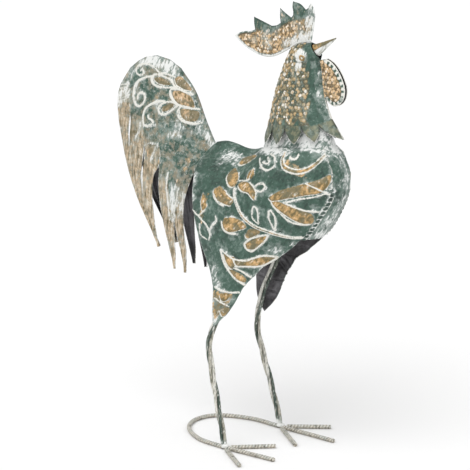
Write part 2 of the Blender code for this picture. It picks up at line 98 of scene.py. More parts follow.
COLLAR_TOP = [(69, 0, 455), (80, 7, 457), (102, 13, 459), (126, 12, 461), (145, 6, 463), (152, 0, 464)]
BELLY_BULGE = 19.0
BELLY_FULLNESS = 0.7
BELLY_HEIGHT = 0.85
NECK_BASE_START = 5 / 12

# Tail half: lines from the top arc to the feather tips, as (share of the way, along, height)
OUTER_LINE = [(0, -189, 494), (0.12, -202.5, 467), (0.22, -203.5, 446), (0.32, -199.5, 420),
              (0.42, -193.5, 394.5), (0.52, -187, 368.5), (0.64, -176, 337.5), (0.76, -163, 311.5),
              (0.86, -147, 288), (0.94, -132, 266), (1.0, -123.5, 252)]
SLOT_1_LINE = [(0, -174, 504.5), (0.12, -182, 470), (0.27, -177, 430), (0.4, -179, 395), (0.52, -174.5, 360),
               (0.7, -159, 316), (0.86, -141, 282), (1.0, -123, 251.8)]
SLOT_2_LINE = [(0, -160, 511), (0.12, -163, 472), (0.27, -153, 427), (0.37, -149.5, 391.5),
               (0.52, -153.5, 350), (0.64, -152, 317), (0.86, -133, 274), (1.0, -122.5, 251.6)]
SLOT_3_REAR = [(0, -140, 514.5), (0.12, -139, 468), (0.27, -128, 415), (0.45, -121, 367), (0.52, -129, 353),
               (0.64, -133, 332), (0.86, -128, 279), (1.0, -122, 251.5)]
SLOT_3_FRONT = [(0, -140, 514.5), (0.12, -139, 468), (0.27, -128, 415), (0.45, -121, 367), (0.6, -120, 325),
                (0.76, -110, 280), (0.88, -100, 249), (1.0, -92, 225.5)]
SLOT_4_REAR = [(0, -117, 510.5), (0.12, -114, 468), (0.27, -106, 415), (0.5, -104, 345), (0.68, -92.5, 297),
               (0.8, -91, 268), (0.9, -89.5, 245), (1.0, -91, 225)]
SLOT_4_FRONT = [(0, -117, 510.5), (0.12, -114, 468), (0.27, -106, 415), (0.5, -104, 345), (0.68, -92.5, 297),
                (0.8, -83.5, 265), (0.9, -77, 243), (1.0, -71.5, 223)]
FRONT_LINE = [(0, -96, 500), (0.12, -68, 468), (0.22, -48.5, 428), (0.3, -31, 399), (0.38, -17, 391),
              (0.44, -28, 384), (0.52, -46, 374), (0.6, -60, 353), (0.68, -71, 325), (0.78, -74, 292),
              (0.9, -68.5, 250), (1.0, -70.5, 222.8)]
TAIL_DEPTH = 21.0
TAIL_FILL = 0.35
TAIL_ROUNDNESS = 0.8
ROOF_ROUNDNESS = 0.9
REAR_FLATTENING = 0.35
RIDGE_END = 0.38
RIDGE_OPEN = 0.52
FEATHER_CAMBER = 1.6
CAMBER_START = 0.3
CAMBER_FULL = 0.5
FEATHER_PLACES = (0, 0.14, 0.28, 0.45, 0.62, 1.0)
SLOTS = (None, (0.27, 0.42), (0.37, 0.64), None, None, None)
SLOT_WIDTH = 3.0
SLOT_BLUNTNESS = 0.6

# Neck and head half
CROWN = [(95, 0, 539.5), (102, 0, 543.5), (110, 0, 545.8), (128, 0, 549)]
NAPE = [(95, 0, 539.5), (87, 0, 524), (79, 0, 506), (70.5, 0, 485), (65, 0, 465), (60, 0, 445), (57, 0, 435)]
FACE = [(128, 0, 549), (132, 6.5, 545), (136, 7.5, 539), (139.5, 5.5, 534), (142, 0, 529)]
THROAT = [(142, 0, 529), (145.5, 0, 513), (147, 0, 498), (151, 0, 479), (155, 0, 467), (161.5, 0, 453)]
VALLEY_LINE = [(57, 0, 435), (68, 0, 438), (90, 0, 442), (120, 0, 444), (145, 0, 446), (161.5, 0, 453)]
PETAL_TIPS = [(49, 0, 414), (66, 0, 415), (92, 0, 417.5), (122, 0, 421), (151, 0, 425.5), (180, 0, 429)]
FACE_SHARE = 0.25
NECK_HALF_WIDTHS = [0, 10.5, 13.5, 14.5, 16, 18.5, 22, 26]
NECK_FULLNESS = 0.85
PETAL_HALF_WIDTH = 30.0
PETAL_SKIRT_FULLNESS = 0.75
PETAL_EDGES = (0, 0.22, 0.46, 0.68, 0.87, 1.0)
PETAL_POINT = 0.06
PETAL_TAPER = 1.9

# Comb, beak and wattle
COMB_FOOT = [(0, 550.5), (8, 543.5), (22.5, 535), (39, 528.7), (56, 526), (70, 528.6), (83.5, 534.5)]
COMB_STROKES = [
    [(0, 550.5), (8, 555), (19, 557.5)],
    [(19, 557.5), (27, 558), (34.5, 560.5)],
    [(34.5, 560.5), (33, 568), (32.5, 577)],
    [(32.5, 577), (46.5, 572.3), (62.5, 566.8)],
    [(62.5, 566.8), (70.5, 568), (77, 571.5)],
    [(77, 571.5), (76, 580), (76, 590.5)],
    [(76, 590.5), (85, 584.5), (94.3, 579.3)],
    [(94.3, 579.3), (97.2, 582.5), (97.6, 587)],
    [(97.6, 587), (96.2, 593.5), (97, 600)],
    [(97, 600), (109, 597.3), (118, 590.5)],
    [(118, 590.5), (121.5, 593), (126, 599.3)],
    [(126, 599.3), (132, 590.5), (133, 582)],
    [(133, 582), (131.3, 568), (128, 553)],
]
COMB_FOOT_PLACES = (0, 13, 42, 44, 57, 82, 84.5, 93, 107, 110, 115, 119, 122, 128)
SHEET = 0.8
WATTLE_SHEET = 1.0
COMB_SHEET = 1.2
BEAK_TIP = (166.5, 0, 557)
BEAK_BLUNT = 0.07
BEAK_TAPER = 0.9
MOUTH_SHARE = 0.52
ROOT_SHARES = (0.10, 0.86)
WATTLE_RIM = [(153, 530), (164.5, 523.3), (174.5, 511.7), (181, 499), (182.7, 490), (180.5, 480.5),
              (174, 473.7), (164.5, 472.2), (156, 478)]
WATTLE_INNER = (0.02, 0.64)
WATTLE_STAND = 1.2
WATTLE_DOME = 2.6
WATTLE_FULLNESS = 0.6
CLEARANCE = 0.3

# Legs, toes and hoop
LEG_LINE = [(48, 38.5, 261), (31, 40, 229), (17, 41, 202), (5.5, 45, 171), (-1.8, 49.7, 151.5),
            (-1.6, 51.8, 135.5), (2.4, 53.8, 115), (18, 57.8, 60)]
FOOT = (32, 60)
WIRE = 4.2
ROD = 6.4
TWIST_START = 0.34
TWIST_TURNS = 1.4
RIGHT_TOES = {"inner": (45, 69), "middle": (2, 83), "outer": (-35, 76)}
LEFT_TOES = {"inner": (37, 83), "middle": (2, 96), "outer": (-38, 71)}
HOOP_BENDS = [(-18, -54), (-60, -28), (-79, 8), (-68, 43), (-22, 62)]

# Drawn lengths that set how many spans of the mesh spacing each panel gets
PANEL_HEIGHT, BACK_LENGTH, NECK_BASE_LENGTH, BREAST_WIDTH, COLLAR_HEIGHT = 250, 85, 118, 20, 40
FEATHER_LENGTH, FEATHER_WIDTHS = 270, (24, 24, 30, 30, 74)
NECK_HEIGHT, NECK_GIRTH, PETAL_LENGTH = 115, 120, 32
STROKE_SPAN, COMB_HEIGHT = 26, 45
WATTLE_LENGTH, WATTLE_WIDTH = 82, 34

# The ornament moves back on the thigh: below what height, over how much of it, and how far
THIGH_TOP = 296.0
THIGH_FADE = 40.0
THIGH_SHIFT = 4.0

# Raised lines of the body, as points (along, height) and a width
BODY_LINES = [
    ([(70, 397), (77, 392), (87, 387), (96, 386), (102, 390), (103, 395), (97, 402), (88, 404)], 1.9),
    ([(81, 394), (90, 393), (92, 396), (86, 400)], 1.9),
    ([(131, 408), (131, 404), (126, 402), (121, 404)], 2.6),
    ([(149, 374), (162, 368), (174, 361)], 2.0),
    ([(125, 348), (143, 354), (158, 357), (171, 362)], 1.6),
    ([(123, 348), (135, 343), (148, 339), (161, 338)], 2.4),
    ([(110, 342), (118, 333), (127, 324), (138, 320), (149, 321)], 2.2),
    ([(14, 347), (21, 338), (31, 334)], 2.4),
    ([(29, 313), (31, 304), (41, 299), (51, 299)], 2.6),
    ([(67, 292), (62, 286), (64, 280), (71, 277), (80, 284), (89, 293), (95, 302), (79, 298), (67, 292)], 2.2),
    ([(86, 317), (79, 323), (78, 331), (81, 339), (86, 336), (87, 327), (86, 317)], 2.0),
    ([(106, 311), (102, 324), (102, 332), (105, 336), (109, 331), (110, 322), (107, 310)], 2.2),
    ([(70, 368), (80, 363), (84, 357), (83, 349)], 2.2),
    ([(48, 367), (62, 369), (68, 374), (68, 385)], 1.5),
    ([(80, 362), (85, 368), (93, 370), (97, 366), (92, 360), (84, 360), (80, 362)], 2.0),
    ([(33, 350), (44, 345)], 1.8),
    ([(26, 273), (32, 253), (45, 237), (58, 229)], 3.0),
    ([(29, 273), (44, 264), (62, 263), (74, 268), (87, 272), (103, 272)], 2.4),
    ([(47, 253), (62, 255), (76, 256), (86, 260), (101, 270)], 2.4),
    ([(45, 251), (55, 248), (66, 240.5)], 2.6),
    ([(10, 219), (22, 216), (38, 216), (51, 218)], 2.4),
    ([(9, 204), (21, 200), (36, 197)], 2.2),
    ([(-24, 322), (-12, 316), (0, 325)], 2.4),
    ([(-12, 315), (1, 306), (8, 295), (6, 285)], 2.6),
    ([(19, 319), (20, 312), (11, 304), (7, 295)], 2.2),
    ([(-11, 305), (-10, 291), (3, 285)], 1.8),
]

# Stem and leaves of the body, the crescent under its neck, and washes of white with their strength
STEM = [(137, 302), (127, 301), (113, 303), (98, 307), (85, 311), (72, 317), (59, 327), (52, 338),
        (47, 348), (45, 357)]
STEM_WIDTH = 4.6
BODY_LEAVES = [
    [(103, 353), (118, 363), (134, 369), (149, 374), (165, 380), (175, 386), (175, 377), (169, 366),
     (163, 362), (149, 359), (128, 354), (108, 349)],
    [(105, 352), (122, 347), (134, 343), (145, 340), (155, 332), (152, 322), (143, 321), (132, 326),
     (121, 334), (110, 343)],
    [(28, 380), (24, 373), (28, 365), (37, 359), (45, 362), (44, 371), (38, 376)],
    [(20, 358), (12, 352), (16, 342), (30, 337), (43, 336), (44, 344), (32, 351)],
    [(30, 312), (34, 318), (49, 320), (61, 316), (67, 310), (56, 305), (41, 300), (33, 302)],
    [(64, 299), (71, 307), (81, 309), (86, 305), (74, 297), (66, 295)],
    [(63, 286), (66, 280), (77, 281), (89, 293), (94, 301), (79, 296), (69, 291)],
    [(49, 362), (52, 366), (65, 368), (78, 363), (84, 357), (82, 348), (77, 350), (70, 355), (58, 356),
     (52, 359)],
    [(68, 385), (62, 380), (62, 372), (69, 372), (74, 378)],
    [(30, 270), (38, 266), (47, 265), (48, 257), (42, 249), (34, 257)],
    [(46, 264), (62, 264), (78, 269), (90, 273), (103, 272), (93, 264), (80, 257), (64, 256), (50, 255)],
    [(36, 254), (42, 248), (51, 245), (60, 238), (58, 232), (48, 236), (39, 245)],
    [(18, 210), (32, 214), (34, 206), (23, 202)],
    [(19, 190), (34, 195), (36, 192), (27, 182)],
    [(-6, 346), (-8, 333), (-4, 323), (1, 330), (0, 340)],
    [(29, 385), (30, 391), (48, 397), (56, 397), (46, 388), (36, 384)],
]
CRESCENT = [(111, 408), (112, 400), (117, 393), (126, 389), (139, 388), (150, 392), (159, 401), (165, 410)]
CRESCENT_WIDTH = 6.5
BODY_WASHES = [
    ([(-9, 396), (6, 398), (24, 393), (25, 382), (8, 380), (-6, 385)], 0.36),
    ([(50, 404), (75, 401), (100, 405), (125, 410), (158, 411), (157, 418), (110, 416), (52, 410)], 0.56),
    ([(150, 411), (160, 404), (167, 400), (171, 408), (158, 418)], 0.42),
    ([(-42, 392), (-30, 380), (-22, 350), (-18, 330), (-30, 330), (-38, 360)], 0.26),
    ([(10, 262), (18, 240), (20, 222), (6, 222), (0, 240)], 0.30),
    ([(90, 283), (120, 292), (134, 298), (120, 284), (100, 268), (84, 262)], 0.36),
    ([(0, 210), (48, 210), (34, 195), (6, 166), (2, 189)], 0.52),
    ([(138, 330), (152, 345), (160, 350), (158, 332), (146, 320)], 0.22),
]

# Places of the body where gold is rubbed over the ground
BODY_RUBS = [
    [(4, 216), (44, 216), (34, 196), (10, 172), (3, 190)],
    [(-8, 345), (6, 352), (2, 322), (-8, 300), (-12, 320)],
    [(118, 404), (146, 392), (150, 380), (130, 384), (112, 394)],
]

# Raised lines and leaves of the tail, its gold rubs and its washes
TAIL_LINES = [
    ([(-158, 502), (-168, 500), (-173, 495), (-172, 489), (-166, 486), (-160, 487), (-159, 491),
      (-162, 494), (-165, 492)], 2.2),
    ([(-169, 498), (-158, 502), (-148, 501), (-139, 498), (-130, 492), (-118, 491), (-103, 488)], 2.2),
    ([(-164, 454), (-164, 459), (-159, 463), (-153, 461), (-151, 455), (-154, 448), (-161, 444),
      (-168, 447), (-172, 456), (-173, 464), (-170, 474), (-161, 481), (-149, 485), (-140, 486)], 3.0),
    ([(-101, 474), (-115, 473), (-130, 473), (-140, 477), (-143, 482), (-140, 488), (-132, 489),
      (-120, 487), (-109, 483), (-101, 474)], 2.6),
    ([(-109, 483), (-101, 475), (-92, 471), (-82, 468), (-72, 466)], 2.6),
    ([(-94, 472), (-102, 472), (-108, 470), (-108, 464), (-105, 459), (-99, 453), (-90, 450),
      (-79, 448), (-69, 447), (-61, 447)], 3.0),
    ([(-143, 432), (-142, 429), (-137, 427), (-134, 424), (-138, 420), (-145, 418), (-151, 421),
      (-152, 432), (-149, 441), (-140, 448), (-128, 453), (-116, 454)], 3.0),
    ([(-94, 450), (-101, 445), (-109, 439), (-117, 436), (-124, 438), (-126, 444), (-122, 449),
      (-113, 453), (-104, 454), (-94, 450)], 2.6),
    ([(-90, 448), (-94, 442), (-92, 435), (-86, 430), (-78, 428), (-67, 427), (-56, 429)], 3.0),
    ([(-200, 470), (-192, 471), (-183, 472)], 1.3),
    ([(-200, 465), (-192, 467), (-184, 469)], 1.3),
    ([(-199, 451), (-190, 454), (-182, 458)], 1.3),
    ([(-195, 449), (-188, 451), (-181, 455)], 1.3),
    ([(-155, 423), (-159, 412), (-166, 397)], 1.5),
    ([(-149, 391), (-138, 395), (-126, 395)], 1.3),
    ([(-127, 393), (-131, 383), (-136, 372)], 1.6),
    ([(-105, 357), (-105, 340), (-102, 319), (-99, 298)], 1.8),
    ([(-82, 338), (-84, 324), (-90, 304), (-94, 296)], 1.8),
    ([(-73, 334), (-74, 318), (-74, 304)], 1.6),
]
TAIL_LEAVES = [
    [(-139, 483), (-132, 486), (-120, 484), (-109, 478), (-118, 476), (-131, 478)],
    [(-103, 486), (-96, 489), (-88, 485), (-80, 478), (-75, 472), (-84, 472), (-93, 475), (-100, 479)],
    [(-104, 469), (-92, 470), (-81, 466), (-74, 462), (-69, 449), (-79, 450), (-92, 452), (-100, 457),
     (-105, 464)],
    [(-121, 444), (-116, 448), (-103, 452), (-101, 449), (-109, 443), (-118, 440)],
    [(-90, 446), (-76, 446), (-63, 444), (-61, 437), (-67, 430), (-78, 430), (-86, 434), (-90, 440)],
]
TAIL_RUBS = [
    [(-146, 386), (-139, 391), (-132, 389), (-133, 382), (-140, 372), (-145, 377)],
    [(-68, 396), (-63, 400), (-60, 398), (-66, 394)],
    [(-51, 397), (-44, 396), (-43, 392), (-48, 390)],
    [(-79, 379), (-74, 384), (-67, 381), (-67, 374), (-74, 373)],
    [(-80, 369), (-70, 370), (-66, 367), (-71, 362), (-77, 363)],
    [(-126, 371), (-123, 376), (-118, 370), (-122, 366)],
    [(-87, 350), (-80, 353), (-75, 347), (-83, 343)],
]
TAIL_WASHES = [
    ([(-190, 488), (-172, 503), (-158, 512), (-140, 516), (-119, 511), (-98, 501), (-98, 488), (-118, 491),
      (-130, 492), (-139, 498), (-158, 502), (-170, 496), (-182, 478)], 0.44),
    ([(-206, 470), (-186, 478), (-183, 452), (-206, 440)], 0.34),
    ([(-105, 429), (-86, 434), (-84, 408), (-102, 405)], 0.30),
    ([(-60, 438), (-50, 425), (-30, 395), (-46, 400), (-66, 425)], 0.30),
    ([(-90, 470), (-70, 460), (-60, 440), (-75, 445)], 0.24),
    ([(-101, 350), (-84, 338), (-89, 302), (-98, 292), (-101, 314)], 0.34),
    ([(-80, 335), (-70, 325), (-74, 300), (-84, 300)], 0.34),
]

# Whitewash on the cheek and the comb
FACE_WASHES = [
    ([(114, 540), (122, 541), (128, 537), (128, 527), (118, 525), (114, 530)], 0.62),
    ([(113, 523), (121, 524), (120, 516), (113, 514)], 0.6),
]
COMB_WASHES = [
    ([(122, 552), (137, 552), (137, 602), (121, 598), (116, 578), (120, 566)], 0.40),
    ([(84, 536), (95, 543), (126, 550), (128, 562), (105, 558), (84, 546)], 0.44),
]

# Beaded line beside the breast strip, and the two thin ridges along it
BEAD_ROW_PITCH = 6.8
BEAD_ROW_MIDDLE = 4.0
BEAD_ROW_RADIUS = 2.5
BEAD_ROW_START = 0.42
BEAD_ROW_RISE = 1.3
RIDGE_RISE = 0.7
RIDGE_INSET = 0.5
COLLAR_WASH = 0.48

# Feathers of the tail
FEATHER_STARTS = (0.13, 0.30, 0.36, 0.50, 0.62)
QUILL_HALF_WIDTH = 1.4
QUILL_RISE = 0.9
BARB_PITCH = 4.2
BARB_SLANT = 0.9
BARB_RISE = 0.30
ROLLED_WIDTH = 1.6
ROLLED_RISE = 0.5

# Eye and beads of the head and neck, comb and wattles
EYE = (123.0, 530.5)
EYE_RADIUS = 3.4
EYE_RING = 1.3
EYE_RING_RISE = 1.3
PUPIL_RADIUS = 1.9
PUPIL_RISE = 1.0
BEAD_PITCH = 4.7
SMOOTH_FRONT = 0.76
BEADS_END = 0.97
COMB_BEAD_PITCH = 3.7
COMB_BORDER = 3.4
COMB_ROUNDING = 0.9
TEETH_START = 24
WATTLE_BEAD_PITCH = 4.0
WATTLE_BORDER = 5.2
WATTLE_RIBS = 12
WATTLE_RIB_RISE = 0.8
WATTLE_EDGE_RISE = 0.6

# Wires, rods and welds
WIRE_KEYS = 22
WIRE_POINTS = 160
WIRE_SIDES = 12
# Tones of the three strands of a leg: a dark and a pale strand as painted shade and light, and one between
WIRE_STRAND_LIGHT_AND_SHADE = (0.16, 0.86, 0.58)
WIRE_PITS = 0.03
ROD_SIDES = 14
ROD_SPACING = 0.8
ROD_FLAT = math.cos(math.pi / 8)
RIB_PITCH = 4.4
WELD_HALF_SIZE = (5.6, 4.2, 3.4)
WELD_PLACE = (1.5, 0.0, 2.4)
WELD_LUMPS = 14
LUMP_RISE = 0.16
LUMP_SPREAD = 0.12
WELD_FLOOR_GAP = 0.4

# Paint masks at the points of every mesh, and the width of their edges in drawn millimetres
MASKS = ("cream", "gold", "wash", "shade", "tone", "feather", "beaded")
PATTERN_BLUR = 0.7
FIELD_REACH = 2.0

# Paint: where noise cuts the fields of lines and leaves, and colours that aren't settings
LINE_EDGE = 0.46
FIELD_EDGE = 0.44
FIELD_FADE = 0.13
FIELD_ROUGHNESS = 0.42
STROKE_LENGTH = 3.2
PAINT_METALLIC = 0.12
HALO_WASH = 0.32
BAND_HALO_WASH = 0.30
# Near black green laid where the shade mask is set: painted shade in grooves, at the mouth line and at leaf
# edges, and dark paint on dots and outlines
SHADE_AND_DARK_PAINT = (0.012, 0.02, 0.016)
MIST = (0.34, 0.40, 0.37)
BRIGHT_LEAF = (0.80, 0.52, 0.27)
OLD_LEAF = (0.15, 0.145, 0.085)
PALE_GOLD = (0.62, 0.44, 0.27)
PALE_GREEN = (0.40, 0.46, 0.43)
CHALK = (0.52, 0.53, 0.49)
# Painted highlight on the tops of the hammered beads
BEAD_HIGHLIGHT = (0.85, 0.80, 0.70)
DARK_OLIVE, OLIVE = (0.085, 0.105, 0.070), (0.270, 0.250, 0.150)
# BRIGHT_ROD is pale paint on the weld beads, and on the rods a painted highlight on their upward side
RUST, WORN_ROD, BRIGHT_ROD = (0.110, 0.100, 0.075), (0.42, 0.37, 0.29), (0.84, 0.81, 0.73)
# Painted shade and painted highlights streaked along the wires
WIRE_STREAK_SHADE, WIRE_STREAK_HIGHLIGHT = (0.035, 0.050, 0.040), (0.76, 0.75, 0.70)

# Colours along a tone from 0 to 1, the two ends first
# The palest stop of the hackle and gilt runs is partly white paint and partly painted glints on single beads
HACKLE_STOPS = ((0.08, (0.060, 0.092, 0.068)), (1.0, (0.88, 0.87, 0.82)), (0.30, (0.150, 0.150, 0.092)),
                (0.50, (0.300, 0.245, 0.130)), (0.68, (0.560, 0.370, 0.165)), (0.84, (0.500, 0.430, 0.310)))
HACKLE_HOLLOW = (0.105, 0.098, 0.060)
GILT_STOPS = ((0.05, (0.150, 0.110, 0.055)), (1.0, (0.90, 0.84, 0.74)), (0.25, (0.350, 0.240, 0.110)),
              (0.48, (0.620, 0.420, 0.220)), (0.75, (0.780, 0.560, 0.340)))
GILT_HOLLOW = (0.130, 0.090, 0.045)
WIRE_STOPS = ((0.10, (0.035, 0.060, 0.045)), (0.92, (0.70, 0.69, 0.63)),
              (0.35, (0.130, 0.150, 0.115)), (0.55, (0.36, 0.34, 0.27)))

# Camera, lights and floor
CAMERA_AZIMUTH = 40.0
CAMERA_ELEVATION = 11.8
CAMERA_DISTANCE = 2.418
CAMERA_TARGET = (0.0, 0.0, 281.3)
CAMERA_LENS = 137.1
CAMERA_SENSOR = 36.0
KEY_SUN = ((0.1, -1.6, 2.4), 50.0, 1.5)
FILL_SUN = ((2.0, -0.8, 1.0), 60.0, 0.5)
SKY_STRENGTH = 0.62
FLOOR_SIZE = 60.0
FLOOR_DROP = 0.0002
FLOOR_COLOUR = (0.97, 0.97, 0.97, 1)
FLOOR_ROUGHNESS = 0.9


class RoosterSettings(bpy.types.PropertyGroup):
    line_rise: bpy.props.FloatProperty(
        name="Line rise", description="Height of the raised lines", default=0.0012, unit="LENGTH")
    leaf_rise: bpy.props.FloatProperty(
        name="Leaf rise", description="Height of the domed leaves", default=0.0016, unit="LENGTH")
    bead_rise: bpy.props.FloatProperty(
        name="Bead rise", description="Height of the hammered beads", default=0.0009, unit="LENGTH")
    rib_rise: bpy.props.FloatProperty(
        name="Rib rise", description="Height of the ribs of the foot rods", default=0.00035, unit="LENGTH")
    spacing: bpy.props.FloatProperty(
        name="Mesh spacing", description="Distance between points of the sheets", default=0.0012,
        min=0.0005, unit="LENGTH")
    dark_green: bpy.props.FloatVectorProperty(
        name="Dark green", description="Deepest ground paint", subtype="COLOR", default=(0.023, 0.050, 0.037))
    green: bpy.props.FloatVectorProperty(
        name="Green", description="Ground paint", subtype="COLOR", default=(0.046, 0.100, 0.073))
    grey_green: bpy.props.FloatVectorProperty(
        name="Grey green", description="Worn ground paint", subtype="COLOR", default=(0.190, 0.270, 0.230))
    white: bpy.props.FloatVectorProperty(
        name="Whitewash", description="Rubbed white", subtype="COLOR", default=(0.81, 0.82, 0.80))
    cream: bpy.props.FloatVectorProperty(
        name="Cream", description="Paint of the raised lines", subtype="COLOR", default=(0.76, 0.75, 0.69))
    gold: bpy.props.FloatVectorProperty(
        name="Gold", description="Paint of the leaves", subtype="COLOR", default=(0.50, 0.32, 0.13))
    brown: bpy.props.FloatVectorProperty(
        name="Brown", description="Shading of the gold", subtype="COLOR", default=(0.170, 0.130, 0.052))
    taupe: bpy.props.FloatVectorProperty(
        name="Taupe", description="Ground of the tail feathers", subtype="COLOR", default=(0.320, 0.280, 0.205))
    inside: bpy.props.FloatVectorProperty(
        name="Inside", description="Bare inner sheet", subtype="COLOR", default=(0.035, 0.034, 0.036))


def smooth_line(points, steps_per_span=12):
    """A smooth curve through the points, as a function of shares of its length."""
    knots = np.array(points, float)
    padded = np.vstack([2 * knots[0] - knots[1], knots, 2 * knots[-1] - knots[-2]])
    step = np.linspace(0, 1, steps_per_span, endpoint=False)[:, None]
    spans = []
    for before, start, end, after in zip(padded, padded[1:], padded[2:], padded[3:]):
        square = 2 * before - 5 * start + 4 * end - after
        cube = 3 * (start - end) + after - before
        spans.append(start + 0.5 * step * (end - before + step * (square + step * cube)))
    dense = np.vstack(spans + [knots[-1:]])
    lengths = np.linalg.norm(np.diff(dense, axis=0), axis=1)
    shares = np.concatenate([[0], np.cumsum(lengths)]) / lengths.sum()
    return lambda share: np.stack([np.interp(share, shares, column) for column in dense.T], axis=-1)


def keyed_line(points):
    """A smooth curve through points whose first value is the share that they belong to."""
    table = np.array(points, float)
    slopes = np.gradient(table[:, 1:], table[:, 0], axis=0)

    def at(share):
        span = np.clip(np.searchsorted(table[:, 0], share) - 1, 0, len(table) - 2)
        start, end = table[span], table[span + 1]
        width = (end[:, 0] - start[:, 0])[:, None]
        part = (share - start[:, 0])[:, None] / width
        rise = part * part * (3 - 2 * part)
        lead = part * (1 - part) ** 2 * width
        trail = -part * part * (1 - part) * width
        return start[:, 1:] + rise * (end - start)[:, 1:] + lead * slopes[span] + trail * slopes[span + 1]

    return at


def patch(top, bottom, start, end, across, down):
    """The surface that spans four edge curves, rows down by columns across."""
    a, d = across[None, :, None], down[:, None, None]
    corners = (1 - d) * ((1 - a) * top(0.0) + a * top(1.0))
    corners = corners + d * ((1 - a) * bottom(0.0) + a * bottom(1.0))
    edges = (1 - d) * top(across)[None] + d * bottom(across)[None]
    return edges + (1 - a) * start(down)[:, None] + a * end(down)[:, None] - corners


def lobe(share, power):
    """A hump from 0 to 1 and back over the share, fuller for a smaller power."""
    return np.sin(np.pi * np.clip(share, 0, 1)) ** power


def field(within):
    """A mask that is one half on an outline, and changes evenly across it."""
    return np.clip(0.5 + within / (2 * FIELD_REACH), 0, 1)


def soft(value, blur=PATTERN_BLUR):
    """Zero below minus half the blur, one above plus half of it."""
    part = np.clip(value / blur + 0.5, 0, 1)
    return part * part * (3 - 2 * part)


def scatter(first, second, seed):
    """A repeatable number from 0 to 1 for each pair of whole numbers."""
    wave = np.sin(first * 12.9898 + second * 78.233 + seed * 37.719) * 43758.5453
    return wave - np.floor(wave)


def rounded(points, count=None):
    """Points close together on a smooth curve."""
    line = smooth_line(points)
    return line(np.linspace(0, 1, count or 5 * len(points)))


def distance_to(along, height, line):
    """The distance from each place to a line of points, and the share of the line nearest to it."""
    best = np.full(along.shape, 1e9)
    share = np.zeros(along.shape)
    count = len(line) - 1
    for index, (start, end) in enumerate(zip(line, line[1:])):
        run = end - start
        part = ((along - start[0]) * run[0] + (height - start[1]) * run[1]) / max(run @ run, 1e-9)
        part = np.clip(part, 0, 1)
        away = np.hypot(along - start[0] - part * run[0], height - start[1] - part * run[1])
        nearer = away < best
        best = np.where(nearer, away, best)
        share = np.where(nearer, (index + part) / count, share)
    return best, share


def inside_of(along, height, outline):
    """True where a place lies inside a closed outline."""
    crossed = np.zeros(along.shape, bool)
    for start, end in zip(outline, np.roll(outline, -1, axis=0)):
        spans = (start[1] > height) != (end[1] > height)
        rise = end[1] - start[1]
        reach = start[0] + (height - start[1]) * (end[0] - start[0]) / (rise if rise else 1e-9)
        crossed ^= spans & (along < reach)
    return crossed


def blank_masks(table):
    """Every paint mask, empty, for a table of points."""
    return {name: np.zeros(table.shape[:2]) for name in MASKS}


